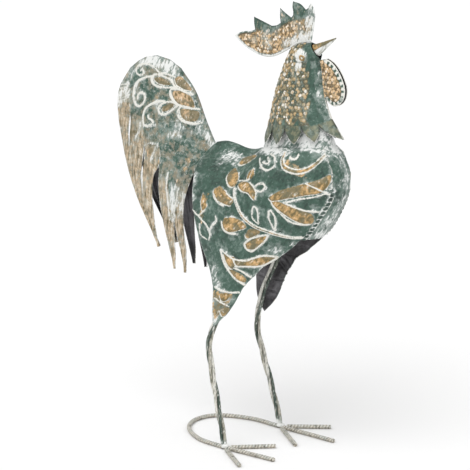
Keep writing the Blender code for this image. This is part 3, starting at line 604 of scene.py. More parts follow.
class Relief:
    """Raised work and paint over a table of drawn points, seen from the side."""

    def __init__(self, table):
        self.along = table[:, :, 0]
        self.height = table[:, :, 2]
        self.rise = np.zeros(self.along.shape)
        self.masks = blank_masks(table)
        settings = bpy.context.scene.rooster
        self.line_rise = settings.line_rise / FIT
        self.leaf_rise = settings.leaf_rise / FIT
        self.bead_rise = settings.bead_rise / FIT

    def lift(self, amount):
        self.rise = np.maximum(self.rise, amount)

    def paint(self, name, amount):
        self.masks[name] = np.maximum(self.masks[name], amount)

    def line(self, points, width):
        """A raised cream line, thinner at its ends, in a halo of whitewash."""
        away, share = distance_to(self.along, self.height, rounded(points))
        half = width / 2 * (0.6 + 0.4 * lobe(0.1 + 0.8 * share, 0.5))
        self.lift(self.line_rise * np.sqrt(np.clip(1 - (away / (half + 0.7)) ** 2, 0, 1)))
        self.paint("cream", field(half - away))
        self.paint("wash", HALO_WASH * soft(half + 1.4 - away, 5.0))

    def leaf(self, outline):
        """A domed gold leaf, shaded at its edge and lit along one rim."""
        within = self.within(outline)
        slope = np.clip((within + 0.4) / 3.5, 0, 1)
        self.lift(self.leaf_rise * np.sin(np.pi / 2 * slope))
        self.paint("gold", field(within))
        self.paint("shade", 0.75 * soft(within) * np.clip(1 - within / 2.6, 0, 1))
        rim = np.minimum(self.within(outline, 1.5), 0.3 - within)
        self.paint("cream", field(np.minimum(rim, 0.9)))
        self.paint("wash", HALO_WASH * soft(2.0 + within, 4.5))

    def within(self, outline, shift=0.0):
        """The depth of each place inside a closed outline, moved down and back by the shift."""
        edge = rounded(list(outline) + [outline[0]]) - shift
        away, _ = distance_to(self.along, self.height, edge)
        return np.where(inside_of(self.along, self.height, edge), away, -away)

    def tapered(self, points, width):
        """A raised band that thins towards its ends, with a gold core and cream borders."""
        away, share = distance_to(self.along, self.height, rounded(points))
        half = width / 2 * (0.35 + 0.65 * lobe(0.08 + 0.84 * share, 0.6))
        self.lift(self.leaf_rise * np.sqrt(np.clip(1 - (away / (half + 0.8)) ** 2, 0, 1)))
        self.paint("cream", field(np.minimum(half - away, away - half + 1.7)))
        self.paint("gold", field(half - 1.5 - away))
        self.paint("wash", BAND_HALO_WASH * soft(half + 1.4 - away, 4.5))

    def wash(self, outline, amount, name="wash", blur=12.0):
        """Soft paint inside an outline."""
        self.paint(name, amount * soft(self.within(outline), blur))

    def beads(self, sideways, onward, pitch, where, seed):
        """Hammered beads, packed unevenly, each with its own size and tone."""
        rise = pitch * math.sqrt(3) / 2
        row, best = np.floor(onward / rise), np.full(where.shape, 1e9)
        tone, size = np.zeros(where.shape), np.ones(where.shape)
        for lower in (-1, 0, 1):
            line = row + lower
            stagger = 0.5 * (line % 2)
            start = np.floor(sideways / pitch - stagger)
            for before in (-1, 0, 1):
                column = start + before
                slip = [scatter(column, line, seed + turn) - 0.5 for turn in range(4)]
                middle_s = (column + 0.5 + stagger + 0.5 * slip[0]) * pitch
                middle_t = (line + 0.5) * rise + 0.5 * slip[1] * pitch
                away = np.hypot(sideways - middle_s, onward - middle_t)
                nearer = away < best
                best = np.where(nearer, away, best)
                tone = np.where(nearer, slip[2] + 0.5, tone)
                size = np.where(nearer, 0.44 + 0.16 * slip[3], size)
        away = best / (size * pitch)
        bump = np.sqrt(np.clip(1 - away ** 2, 0, 1)) * where * (0.7 + 0.6 * (size - 0.36) / 0.16)
        self.lift(self.bead_rise * pitch / 4.0 * bump)
        # The beaded mask peaks on each bead's top, where the painted highlight goes
        self.paint("beaded", where * np.clip(1.25 - away, 0, 1))
        self.masks["tone"] = np.where(where > 0.3, tone, self.masks["tone"])


def select_only(*pieces):
    """Selects the pieces and makes the first one active."""
    bpy.ops.object.select_all(action="DESELECT")
    for piece in pieces:
        piece.select_set(True)
    bpy.context.view_layer.objects.active = pieces[0]


def lay_grid(name, table, masks, rise=None):
    """A grid primitive laid over a table of drawn points, with paint masks at its points."""
    rows, columns = table.shape[:2]
    bpy.ops.object.select_all(action="DESELECT")
    bpy.ops.mesh.primitive_grid_add(x_subdivisions=columns - 1, y_subdivisions=rows - 1, size=2.0)
    piece = bpy.context.object
    piece.name = name
    mesh = piece.data
    if len(mesh.vertices) != rows * columns:
        raise ValueError(f"the grid of {name} has {len(mesh.vertices)} points for {rows} by {columns}")
    flat = np.empty(len(mesh.vertices) * 3, np.float32)
    mesh.vertices.foreach_get("co", flat)
    flat = flat.reshape(-1, 3)
    column = np.rint((flat[:, 0] + 1) / 2 * (columns - 1)).astype(int)
    row = np.rint((flat[:, 1] + 1) / 2 * (rows - 1)).astype(int)
    places = table[row, column] * FIT + SHIFT
    mesh.vertices.foreach_set("co", places.astype(np.float32).ravel())
    values = dict(masks)
    if rise is not None:
        values["rise"] = rise
    for mask, value in values.items():
        layer = mesh.attributes.new(mask, "FLOAT", "POINT")
        layer.data.foreach_set("value", value[row, column].astype(np.float32))
    return piece


def weld(pieces, name):
    """One smooth piece from one or more, with points in one place merged."""
    select_only(*pieces)
    if len(pieces) > 1:
        bpy.ops.object.join()
    piece = bpy.context.object
    piece.name = name
    piece.data.name = name
    bpy.ops.object.mode_set(mode="EDIT")
    bpy.ops.mesh.select_all(action="SELECT")
    bpy.ops.mesh.remove_doubles(threshold=MERGE_DISTANCE)
    bpy.ops.object.mode_set(mode="OBJECT")
    bpy.ops.object.shade_smooth()
    return piece


def turn_outwards(piece):
    """Turns the faces of a closed piece to its outside."""
    select_only(piece)
    bpy.ops.object.mode_set(mode="EDIT")
    bpy.ops.mesh.select_all(action="SELECT")
    bpy.ops.mesh.normals_make_consistent(inside=False)
    bpy.ops.object.mode_set(mode="OBJECT")


def press_out(piece):
    """Moves each point along its normal by its rise, and keeps the seams on the middle plane."""
    mesh = piece.data
    count = len(mesh.vertices)
    places = np.empty(count * 3, np.float32)
    normals = np.empty(count * 3, np.float32)
    rise = np.empty(count, np.float32)
    mesh.vertices.foreach_get("co", places)
    mesh.vertex_normals.foreach_get("vector", normals)
    mesh.attributes["rise"].data.foreach_get("value", rise)
    places, normals = places.reshape(-1, 3), normals.reshape(-1, 3)
    seam = (SEAM + SEAM_REACH) * FIT + SHIFT[1]
    moved = places + normals * rise[:, None] * FIT
    moved[:, 1] = np.where(places[:, 1] < seam, places[:, 1], np.maximum(moved[:, 1], SEAM * FIT + SHIFT[1]))
    mesh.vertices.foreach_set("co", moved.ravel())
    mesh.attributes.remove(mesh.attributes["rise"])
    mesh.update()


def give_thickness(piece, thickness, paint):
    """Turns a skin into sheet, painted outside and bare inside."""
    for material in (paint, bare_inside()):
        piece.data.materials.append(material)
    shell = piece.modifiers.new("sheet", "SOLIDIFY")
    shell.thickness = thickness * FIT
    shell.offset = 1.0
    shell.use_even_offset = False
    shell.use_quality_normals = True
    shell.material_offset = 1
    shell.material_offset_rim = 0
    select_only(piece)
    bpy.ops.object.modifier_apply(modifier=shell.name)


def mirrored(piece, name):
    """A copy on the other side of the bird, with its faces outwards."""
    select_only(piece)
    bpy.ops.object.duplicate()
    twin = bpy.context.object
    twin.name = name
    twin.data.name = name
    middle = Matrix.Translation(Vector((0, 2 * SHIFT[1], 0)))
    twin.data.transform(middle @ Matrix.Diagonal((1, -1, 1, 1)))
    twin.data.flip_normals()
    return twin


def finish_piece(piece, slot, material, *nodes):
    """Gives a piece its material, the nodes that it replaces and its body; the slot is not used."""
    if not piece.data.materials:
        piece.data.materials.append(material)
    if nodes:
        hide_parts(*nodes)
    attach(piece, "root")


def sheet_pair(name, tables, reliefs, thickness, slot, paint):
    """The left sheet of a pair from its drawn tables, and its mirror image on the right."""
    grids = [lay_grid(name, table, relief.masks, relief.rise) for table, relief in zip(tables, reliefs)]
    left = weld(grids, f"rooster_{name}_left")
    press_out(left)
    give_thickness(left, thickness, paint)
    right = mirrored(left, f"rooster_{name}_right")
    finish_piece(left, slot, paint, name + "_left")
    finish_piece(right, slot, paint, name + "_right")


def on_one_side(tables):
    """Keeps every point of the tables on the left of the seam."""
    for table in tables:
        table[:, :, 1] = np.maximum(table[:, :, 1], SEAM)


def steps(length, least=2):
    """How many spans of the mesh spacing a drawn length takes."""
    return max(least, round(length * FIT / bpy.context.scene.rooster.spacing))


class Nodes:
    """Short calls for a node tree."""

    def __init__(self, tree):
        self.tree = tree

    def add(self, kind, **inputs):
        node = self.tree.nodes.new(kind)
        for name, value in inputs.items():
            self.put(node.inputs[name.replace("_", " ")], value)
        return node

    def put(self, socket, value):
        if isinstance(value, bpy.types.NodeSocket):
            self.tree.links.new(value, socket)
        elif hasattr(value, "__len__") and len(value) == 3 and socket.type == "RGBA":
            socket.default_value = (*value, 1)
        else:
            socket.default_value = value

    def math(self, operation, *values, clamp=False):
        node = self.tree.nodes.new("ShaderNodeMath")
        node.operation = operation
        node.use_clamp = clamp
        for socket, value in zip(node.inputs, values):
            self.put(socket, value)
        return node.outputs[0]

    def grain(self, vector, scale, detail, roughness):
        """Noise stretched to fill the range from 0 to 1."""
        return self.math("MULTIPLY_ADD", self.noise(vector, scale, detail, roughness), 2.9, -0.95, clamp=True)

    def blend(self, share, first, second):
        """The share of the first value added to the rest of the second."""
        return self.math("MULTIPLY_ADD", first, share, self.math("MULTIPLY", second, 1 - share))

    def cover(self, field_mask, noise, edge):
        """Paint inside the outline of a field, with an edge that noise makes uneven."""
        uneven = self.math("MULTIPLY_ADD", self.math("SUBTRACT", noise, 0.5), FIELD_ROUGHNESS, field_mask)
        return self.ramp(uneven, edge, edge + FIELD_FADE)

    def part(self, value, low, high, amount):
        """A ramp that ends at the amount."""
        return self.math("MULTIPLY", self.ramp(value, low, high), amount)

    def colours(self, value, stops):
        """A run of colours along a value."""
        node = self.tree.nodes.new("ShaderNodeValToRGB")
        band = node.color_ramp
        for index, (place, colour) in enumerate(stops):
            stop = band.elements[index] if index < 2 else band.elements.new(place)
            stop.position = place
            stop.color = (*colour, 1)
        self.put(node.inputs["Fac"], value)
        return node.outputs["Color"]

    def mix(self, factor, first, second):
        node = self.tree.nodes.new("ShaderNodeMix")
        node.data_type = "RGBA"
        self.put(node.inputs["Factor"], factor)
        self.put(node.inputs[6], first)
        self.put(node.inputs[7], second)
        return node.outputs[2]

    def noise(self, vector, scale, detail, roughness):
        node = self.add("ShaderNodeTexNoise", Vector=vector, Scale=scale, Detail=detail, Roughness=roughness)
        return node.outputs["Fac"]

    def ramp(self, value, low, high):
        """Zero below low and one above high."""
        node = self.tree.nodes.new("ShaderNodeMapRange")
        node.interpolation_type = "SMOOTHSTEP"
        self.put(node.inputs["Value"], value)
        self.put(node.inputs["From Min"], low)
        self.put(node.inputs["From Max"], high)
        return node.outputs["Result"]

    def mask(self, name):
        """A paint mask held at the points of the mesh."""
        node = self.tree.nodes.new("ShaderNodeAttribute")
        node.attribute_name = name
        return node.outputs["Fac"]

    def strokes(self, vector, lean, length):
        """Places drawn out along a direction of the side view, for brush strokes."""
        node = self.add("ShaderNodeMapping", Vector=vector)
        node.vector_type = "TEXTURE"
        node.inputs["Rotation"].default_value = (0, -math.radians(lean), 0)
        node.inputs["Scale"].default_value = (length, 1, 1)
        return node.outputs["Vector"]


def brushed_group():
    """Whitewash, gold and cream laid over a ground colour, all broken up as if brushed by hand."""
    name = "Brushed paint"
    if name in bpy.data.node_groups:
        return bpy.data.node_groups[name]
    tree = bpy.data.node_groups.new(name, "ShaderNodeTree")
    for label, kind in (("Vector", "Vector"), ("Stroke", "Vector"), ("Ground", "Color"), ("White", "Color"),
                        ("Cream", "Color"), ("Gold", "Color"), ("Brown", "Color"), ("Rubbing", "Float")):
        tree.interface.new_socket(label, in_out="INPUT", socket_type="NodeSocket" + kind)
    for label, kind in (("Color", "Color"), ("Roughness", "Float"), ("Height", "Float")):
        tree.interface.new_socket(label, in_out="OUTPUT", socket_type="NodeSocket" + kind)
    build = Nodes(tree)
    given = tree.nodes.new("NodeGroupInput").outputs
    fine = build.grain(given["Vector"], 600.0, 4.0, 0.65)
    blotch = build.grain(given["Vector"], 170.0, 6.0, 0.62)
    broad = build.grain(given["Vector"], 52.0, 5.0, 0.6)
    dry = build.grain(given["Stroke"], 300.0, 6.0, 0.70)
    streaky = build.blend(0.60, dry, broad)
    worn = build.math("ADD", build.mask("wash"), given["Rubbing"])
    limit = build.math("SUBTRACT", 1.0, worn)
    washed = build.part(streaky, limit, build.math("ADD", limit, 0.20), 0.92)
    misty = build.blend(0.5, blotch, broad)
    mist = build.part(misty, build.math("SUBTRACT", limit, 0.30), build.math("ADD", limit, 0.10), 0.50)
    # The shade mask darkens the ground here: partly painted shade, partly dark paint
    ground = build.mix(build.math("MULTIPLY", build.mask("shade"), 0.55), given["Ground"], SHADE_AND_DARK_PAINT)
    ground = build.mix(mist, ground, MIST)
    colour = build.mix(washed, ground, given["White"])
    tonal = build.blend(0.55, dry, blotch)
    leaf = build.mix(build.ramp(tonal, 0.30, 0.60), given["Brown"], given["Gold"])
    leaf = build.mix(build.part(tonal, 0.58, 0.80, 0.85), leaf, BRIGHT_LEAF)
    leaf = build.mix(build.part(broad, 0.58, 0.28, 0.78), leaf, OLD_LEAF)
    leaf = build.mix(build.part(dry, 0.74, 0.95, 0.75), leaf, given["Cream"])
    leaf = build.mix(build.math("MULTIPLY", build.mask("shade"), 0.75), leaf, given["Brown"])
    colour = build.mix(build.cover(build.mask("gold"), dry, FIELD_EDGE), colour, leaf)
    thin = build.math("SUBTRACT", 1.0, build.part(blotch, 0.66, 0.92, 0.65))
    ragged = build.blend(0.5, fine, blotch)
    lined = build.math("MULTIPLY", build.cover(build.mask("cream"), ragged, LINE_EDGE), thin)
    colour = build.mix(lined, colour, given["Cream"])
    out = tree.nodes.new("NodeGroupOutput")
    build.put(out.inputs["Color"], colour)
    rough = build.math("MULTIPLY_ADD", washed, 0.2, 0.42)
    build.put(out.inputs["Roughness"], build.math("MULTIPLY_ADD", fine, 0.12, rough))
    paint = build.math("MULTIPLY_ADD", fine, 0.25, build.math("MULTIPLY", washed, 0.5))
    build.put(out.inputs["Height"], build.math("MULTIPLY_ADD", lined, 0.4, paint))
    return tree


def start_material(name):
    """A new material with its shader, calls for its nodes, and the place on the piece."""
    material = bpy.data.materials.new(name)
    material.use_nodes = True
    tree = material.node_tree
    shader = tree.nodes["Principled BSDF"]
    build = Nodes(tree)
    vector = tree.nodes.new("ShaderNodeTexCoord").outputs["Object"]
    return material, shader, build, vector


def painted(name, ground_of, rubbing, lean=45.0, gold=None):
    """A painted metal. ground_of makes the ground colour from the node calls and the place."""
    material, shader, build, vector = start_material(name)
    settings = bpy.context.scene.rooster
    group = build.tree.nodes.new("ShaderNodeGroup")
    group.node_tree = brushed_group()
    build.put(group.inputs["Vector"], vector)
    build.put(group.inputs["Stroke"], build.strokes(vector, lean, STROKE_LENGTH))
    build.put(group.inputs["Ground"], ground_of(build, vector, settings))
    for label, value in (("White", settings.white), ("Cream", settings.cream), ("Gold", gold or settings.gold),
                         ("Brown", settings.brown), ("Rubbing", rubbing)):
        build.put(group.inputs[label], value)
    build.put(shader.inputs["Base Color"], group.outputs["Color"])
    build.put(shader.inputs["Roughness"], group.outputs["Roughness"])
    shader.inputs["Metallic"].default_value = PAINT_METALLIC
    bump = build.add("ShaderNodeBump", Strength=0.4, Distance=0.0006, Height=group.outputs["Height"])
    build.put(shader.inputs["Normal"], bump.outputs["Normal"])
    return material


def green_ground(build, vector, settings):
    """Mottled green brushed along the body, with pale specks."""
    broad = build.grain(vector, 30.0, 6.0, 0.62)
    fine = build.grain(build.strokes(vector, 50, 2.0), 260.0, 6.0, 0.70)
    both = build.blend(0.5, broad, fine)
    colour = build.mix(build.ramp(both, 0.20, 0.55), settings.dark_green, settings.green)
    colour = build.mix(build.part(both, 0.58, 0.86, 0.65), colour, settings.grey_green)
    speck = build.grain(vector, 420.0, 5.0, 0.75)
    return build.mix(build.part(speck, 0.80, 0.98, 0.5), colour, PALE_GREEN)


def tail_ground(build, vector, settings):
    """Worn green above, and brown and cream streaks on the feathers."""
    green = green_ground(build, vector, settings)
    mottle = build.grain(vector, 70.0, 7.0, 0.68)
    green = build.mix(build.part(mottle, 0.42, 0.66, 0.7), green, settings.taupe)
    green = build.mix(build.part(mottle, 0.80, 0.95, 0.45), green, settings.gold)
    chalk = build.grain(vector, 240.0, 6.0, 0.72)
    green = build.mix(build.part(chalk, 0.62, 0.86, 0.6), green, CHALK)
    streak = build.grain(build.strokes(vector, 84, 11), 420.0, 5.0, 0.65)
    spot = build.grain(vector, 95.0, 6.0, 0.65)
    both = build.blend(0.55, streak, spot)
    bark = build.colours(both, ((0.0, (0.045, 0.060, 0.040)), (1.0, settings.cream),
                                (0.26, settings.brown), (0.42, settings.taupe), (0.54, (0.52, 0.38, 0.23)),
                                (0.66, (0.64, 0.56, 0.43))))
    return build.mix(build.mask("feather"), green, bark)


def bead_colour(build, vector, stops, hollow):
    """Beads with a colour each, with a painted highlight on their tops, over a dark hollow."""
    fine = build.grain(vector, 380.0, 5.0, 0.65)
    tone = build.math("MULTIPLY_ADD", build.math("SUBTRACT", fine, 0.5), 0.42, build.mask("tone"))
    bead = build.colours(tone, stops)
    # Painted highlight: the top of each bead is mixed towards pale cream
    bead = build.mix(build.part(build.mask("beaded"), 0.75, 1.0, 0.25), bead, BEAD_HIGHLIGHT)
    return build.mix(build.ramp(build.mask("beaded"), 0.02, 0.42), hollow, bead)


def hackle_ground(build, vector, settings):
    """Beads from green through gold to white over the smooth green of the throat."""
    green = green_ground(build, vector, settings)
    dull = build.grain(vector, 130.0, 6.0, 0.68)
    olive = build.mix(build.ramp(dull, 0.3, 0.75), DARK_OLIVE, OLIVE)
    green = build.mix(build.math("MULTIPLY", build.mask("tone"), 0.75), green, olive)
    beads = bead_colour(build, vector, HACKLE_STOPS, HACKLE_HOLLOW)
    return build.mix(build.mask("feather"), green, beads)


def gilt_ground(build, vector, settings):
    """Gold and flesh coloured beads on the comb and the wattles, and green outside them."""
    green = green_ground(build, vector, settings)
    beads = bead_colour(build, vector, GILT_STOPS, GILT_HOLLOW)
    return build.mix(build.mask("feather"), green, beads)


def wire_ground(build, vector, settings):
    """Wire streaked along its length with painted shade and painted highlights; each strand has its own tone,
    one dark, one pale and one between, as painted shade and light.
    """
    streak = build.grain(build.strokes(vector, 82, 30), 640.0, 4.0, 0.6)
    patchy = build.grain(vector, 60.0, 5.0, 0.65)
    tone = build.math("MULTIPLY_ADD", build.math("SUBTRACT", patchy, 0.5), 0.45, build.mask("tone"))
    grey = build.colours(tone, WIRE_STOPS)
    colour = build.mix(build.part(streak, 0.42, 0.20, 0.7), grey, WIRE_STREAK_SHADE)
    return build.mix(build.part(streak, 0.66, 0.88, 0.8), colour, WIRE_STREAK_HIGHLIGHT)


def rod_ground(build, vector, settings):
    """Rusty rod, pale in patches where the tone mask is high; on the rods that tone is a painted highlight on
    their upward side.
    """
    spot = build.grain(vector, 260.0, 6.0, 0.7)
    rust = build.mix(build.ramp(spot, 0.15, 0.6), RUST, WORN_ROD)
    bright = build.math("MULTIPLY", build.mask("tone"), build.ramp(spot, 0.10, 0.42))
    return build.mix(bright, rust, BRIGHT_ROD)


def horn_ground(build, vector, settings):
    """Horn colour of the beak."""
    spot = build.grain(vector, 260.0, 6.0, 0.7)
    return build.mix(build.ramp(spot, 0.25, 0.7), settings.taupe, settings.cream)


def bare_inside(name="inner_sheet"):
    """The unpainted inner face: dark oiled steel, with greyer patches as a painted sheen."""
    if name in bpy.data.materials:
        return bpy.data.materials[name]
    material, shader, build, vector = start_material(name)
    dark = bpy.context.scene.rooster.inside
    broad = build.noise(vector, 22.0, 5.0, 0.6)
    fine = build.noise(vector, 330.0, 4.0, 0.6)
    sheen_patches = build.math("ADD", broad, build.math("MULTIPLY", fine, 0.25))
    # Painted sheen: the broad patches are five times lighter than the dark steel
    grey = tuple(5.0 * value for value in dark)
    build.put(shader.inputs["Base Color"], build.mix(build.ramp(sheen_patches, 0.48, 0.80), tuple(dark), grey))
    build.put(shader.inputs["Roughness"], build.math("ADD", 0.38, build.math("MULTIPLY", fine, 0.2)))
    shader.inputs["Metallic"].default_value = 0.35
    bump = build.add("ShaderNodeBump", Strength=0.2, Distance=0.0004, Height=fine)
    build.put(shader.inputs["Normal"], bump.outputs["Normal"])
    return material


def body_tables():
    """The side panel, the half of the breast strip, and the collar inside the hackle."""
    back = smooth_line(BACK)
    neck_base = smooth_line(NECK_BASE)

    def top(share):
        on_back = back(np.minimum(share / NECK_BASE_START, 1))
        on_base = neck_base(np.maximum((share - NECK_BASE_START) / (1 - NECK_BASE_START), 0))
        return np.where(np.asarray(share)[..., None] <= NECK_BASE_START, on_back, on_base)

    seam, bead = smooth_line(BREAST_SEAM), smooth_line(BEAD_LINE)
    down = np.linspace(0, 1, steps(PANEL_HEIGHT) + 1)
    split = steps(BACK_LENGTH)
    across = np.concatenate([np.linspace(0, NECK_BASE_START, split + 1),
                             np.linspace(NECK_BASE_START, 1, steps(NECK_BASE_LENGTH) + 1)[1:]])
    side = patch(top, smooth_line(LOWER_EDGE), smooth_line(REAR_EDGE), bead, across, down)
    bulge = lobe(across, BELLY_FULLNESS)[None] * lobe(down ** BELLY_HEIGHT, BELLY_FULLNESS)[:, None]
    side[:, :, 1] += BELLY_BULGE * bulge
    part = np.linspace(0, 1, steps(BREAST_WIDTH) + 1)
    front = (1 - part)[None, :, None] * bead(down)[:, None] + part[None, :, None] * seam(down)[:, None]
    rounding = np.sin(np.pi / 2 * part) - part
    front[:, :, 0] += rounding[None] * (seam(down) - bead(down))[:, None, 0]
    foot_row = np.vstack([side[0, split:], front[0, 1:]])
    head_row = smooth_line(COLLAR_TOP)(np.linspace(0, 1, len(foot_row)))
    lift = np.linspace(1, 0, steps(COLLAR_HEIGHT) + 1)[:, None, None]
    collar = (1 - lift) * foot_row + lift * head_row
    return side, front, collar


def walked(table, axis):
    """The length walked over a table along one axis."""
    lengths = np.linalg.norm(np.diff(table, axis=axis), axis=2)
    pad = ((1, 0), (0, 0)) if axis == 0 else ((0, 0), (1, 0))
    return np.pad(np.cumsum(lengths, axis=axis), pad)


def dress_body_side(side):
    """Leaves, scrolls, washes and worn edges of the side panel."""
    relief = Relief(side)
    low = np.clip((THIGH_TOP - relief.height) / THIGH_FADE, 0, 1)
    relief.along = relief.along + THIGH_SHIFT * low
    for outline in BODY_LEAVES:
        relief.leaf(outline)
    relief.tapered(CRESCENT, CRESCENT_WIDTH)
    relief.tapered(STEM, STEM_WIDTH)
    for points, width in BODY_LINES:
        relief.line(points, width)
    for outline, amount in BODY_WASHES:
        relief.wash(outline, amount)
    for outline in BODY_RUBS:
        relief.wash(outline, 0.56, "gold", 10.0)
    sideways, onward = walked(side, 1), walked(side, 0)
    edge = np.minimum(sideways, sideways[:, -1:] - sideways)
    relief.paint("wash", 0.42 * np.clip(1 - edge / 3.5, 0, 1))
    hem = onward[-1:] - onward
    relief.paint("wash", 0.35 * np.clip(1 - hem / 4.0, 0, 1))
    return relief


def dress_breast(front):
    """The beaded line, the ridges along it and the whitewash of the breast strip."""
    relief = Relief(front)
    sideways, onward = walked(front, 1), walked(front, 0)
    across = sideways / np.maximum(sideways[:, -1:], 1.0)
    relief.paint("wash", 0.12 + 0.16 * soft(across - 0.55, 0.5) + 0.34 * soft(16 - onward, 20.0))
    relief.paint("wash", 0.36 * soft(onward - 118, 40.0))
    phase = (onward / BEAD_ROW_PITCH) % 1.0 - 0.5
    away = np.hypot(sideways - BEAD_ROW_MIDDLE, phase * BEAD_ROW_PITCH) / BEAD_ROW_RADIUS
    low = soft(onward - BEAD_ROW_START * onward[-1:], 30.0)
    band = field(BEAD_ROW_MIDDLE - 0.6 - np.abs(sideways - BEAD_ROW_MIDDLE)) * low
    relief.lift(BEAD_ROW_RISE * np.sqrt(np.clip(1 - away ** 2, 0, 1)) * low)
    relief.paint("wash", 0.75 * band)
    relief.masks["wash"] = relief.masks["wash"] * (1 - low * soft(1.15 - away, 0.3))
    relief.paint("shade", low * soft(1.0 - away, 0.3))
    for place, reach in ((RIDGE_INSET, 1.0), (2 * BEAD_ROW_MIDDLE - RIDGE_INSET, low)):
        line = np.abs(sideways - place)
        relief.lift(RIDGE_RISE * np.sqrt(np.clip(1 - line ** 2, 0, 1)))
        relief.paint("cream", field(0.7 - line) * reach)
    return relief


class ROOSTER_OT_body(bpy.types.Operator):
    """Body halves with raised leaves and scrolls, the beaded line and the breast strip"""

    bl_idname = "rooster.body"
    bl_label = "Body"

    def execute(self, context):
        tables = body_tables()
        on_one_side(tables)
        side, front, collar = tables
        reliefs = [dress_body_side(side), dress_breast(front), Relief(collar)]
        reliefs[2].paint("wash", np.full(collar.shape[:2], COLLAR_WASH))
        sheet_pair("body", tables, reliefs, SHEET, "body_paint", painted("body_paint", green_ground, 0.20, 50))
        return {"FINISHED"}


def tail_tables():
    """Feathers side by side; neighbours share their edge where no slot parts them."""
    rear_sides = (OUTER_LINE, SLOT_1_LINE, SLOT_2_LINE, SLOT_3_FRONT, SLOT_4_FRONT)
    front_sides = (SLOT_1_LINE, SLOT_2_LINE, SLOT_3_REAR, SLOT_4_REAR, FRONT_LINE)
    down = np.linspace(0, 1, steps(FEATHER_LENGTH) + 1)
    closed = np.clip((RIDGE_OPEN - down) / (RIDGE_OPEN - RIDGE_END), 0, 1)
    filled = np.sin(np.pi / 2 * np.minimum(1, down / TAIL_FILL)) ** TAIL_ROUNDNESS
    parted = np.clip((down - CAMBER_START) / (CAMBER_FULL - CAMBER_START), 0, 1)
    tables = []
    for index, (rear_side, front_side) in enumerate(zip(rear_sides, front_sides)):
        across = np.linspace(0, 1, steps(FEATHER_WIDTHS[index]) + 1)
        line_a, line_b = keyed_line(rear_side)(down)[:, None], keyed_line(front_side)(down)[:, None]
        flat = (1 - across)[None, :, None] * line_a + across[None, :, None] * line_b
        to_ridge = (1 - across) * FEATHER_PLACES[index] + across * FEATHER_PLACES[index + 1]
        roof = (1 - closed[:, None] * to_ridge[None] ** 2) ** ROOF_ROUNDNESS
        depth = TAIL_DEPTH * filled[:, None] * roof * (1 - REAR_FLATTENING * (1 - to_ridge[None]) ** 2)
        depth = depth + FEATHER_CAMBER * parted[:, None] * lobe(across, 1.0)[None]
        table = np.stack([flat[:, :, 0], depth, flat[:, :, 1]], axis=2)
        for slot, way in ((SLOTS[index], 1), (SLOTS[index + 1], -1)):
            if slot:
                gap = SLOT_WIDTH / 2 * lobe((down - slot[0]) / (slot[1] - slot[0]), SLOT_BLUNTNESS)
                fade = np.clip(1 - 4 * np.abs(across - (0 if way > 0 else 1)), 0, 1)
                table[:, :, 0] += way * gap[:, None] * fade[None]
        tables.append((table, across, down))
    return tables


def dress_feather(index, table, across, down):
    """Scrolls above, and quill, barbs and rolled edges below."""
    relief = Relief(table)
    for outline in TAIL_LEAVES:
        relief.leaf(outline)
    for points, width in TAIL_LINES:
        relief.line(points, width)
    for outline, amount in TAIL_WASHES:
        relief.wash(outline, amount)
    for outline in TAIL_RUBS:
        relief.wash(outline, 0.60, "gold", 7.0)
    feather = soft(down - FEATHER_STARTS[index], 0.14)[:, None] * np.ones(len(across))[None]
    relief.paint("feather", feather)
    sideways, onward = walked(table, 1), walked(table, 0)
    width = np.maximum(sideways[:, -1:], 1.0)
    middle = np.abs(sideways - width / 2)
    quill = np.clip(1 - (middle / QUILL_HALF_WIDTH) ** 2, 0, 1)
    barbs = 0.5 + 0.5 * np.sin(2 * np.pi * (onward - BARB_SLANT * middle) / BARB_PITCH)
    edge = np.minimum(sideways, width - sideways)
    rolled = np.clip(1 - edge / ROLLED_WIDTH, 0, 1)
    relief.lift(feather * (QUILL_RISE * quill + BARB_RISE * barbs * (1 - quill) + ROLLED_RISE * rolled))
    relief.paint("wash", feather * 0.30 * rolled)
    relief.paint("shade", feather * 0.40 * (1 - barbs) * (1 - quill))
    return relief


class ROOSTER_OT_tail(bpy.types.Operator):
    """Arched tail halves with scrolls above and barbed feathers below"""

    bl_idname = "rooster.tail"
    bl_label = "Tail"

    def execute(self, context):
        feathers = tail_tables()
        tables = [feather[0] for feather in feathers]
        on_one_side(tables)
        reliefs = [dress_feather(index, *feather) for index, feather in enumerate(feathers)]
        paint = painted("tail_paint", tail_ground, 0.26, 75, gold=PALE_GOLD)
        sheet_pair("tail", tables, reliefs, SHEET, "tail_paint", paint)
        return {"FINISHED"}


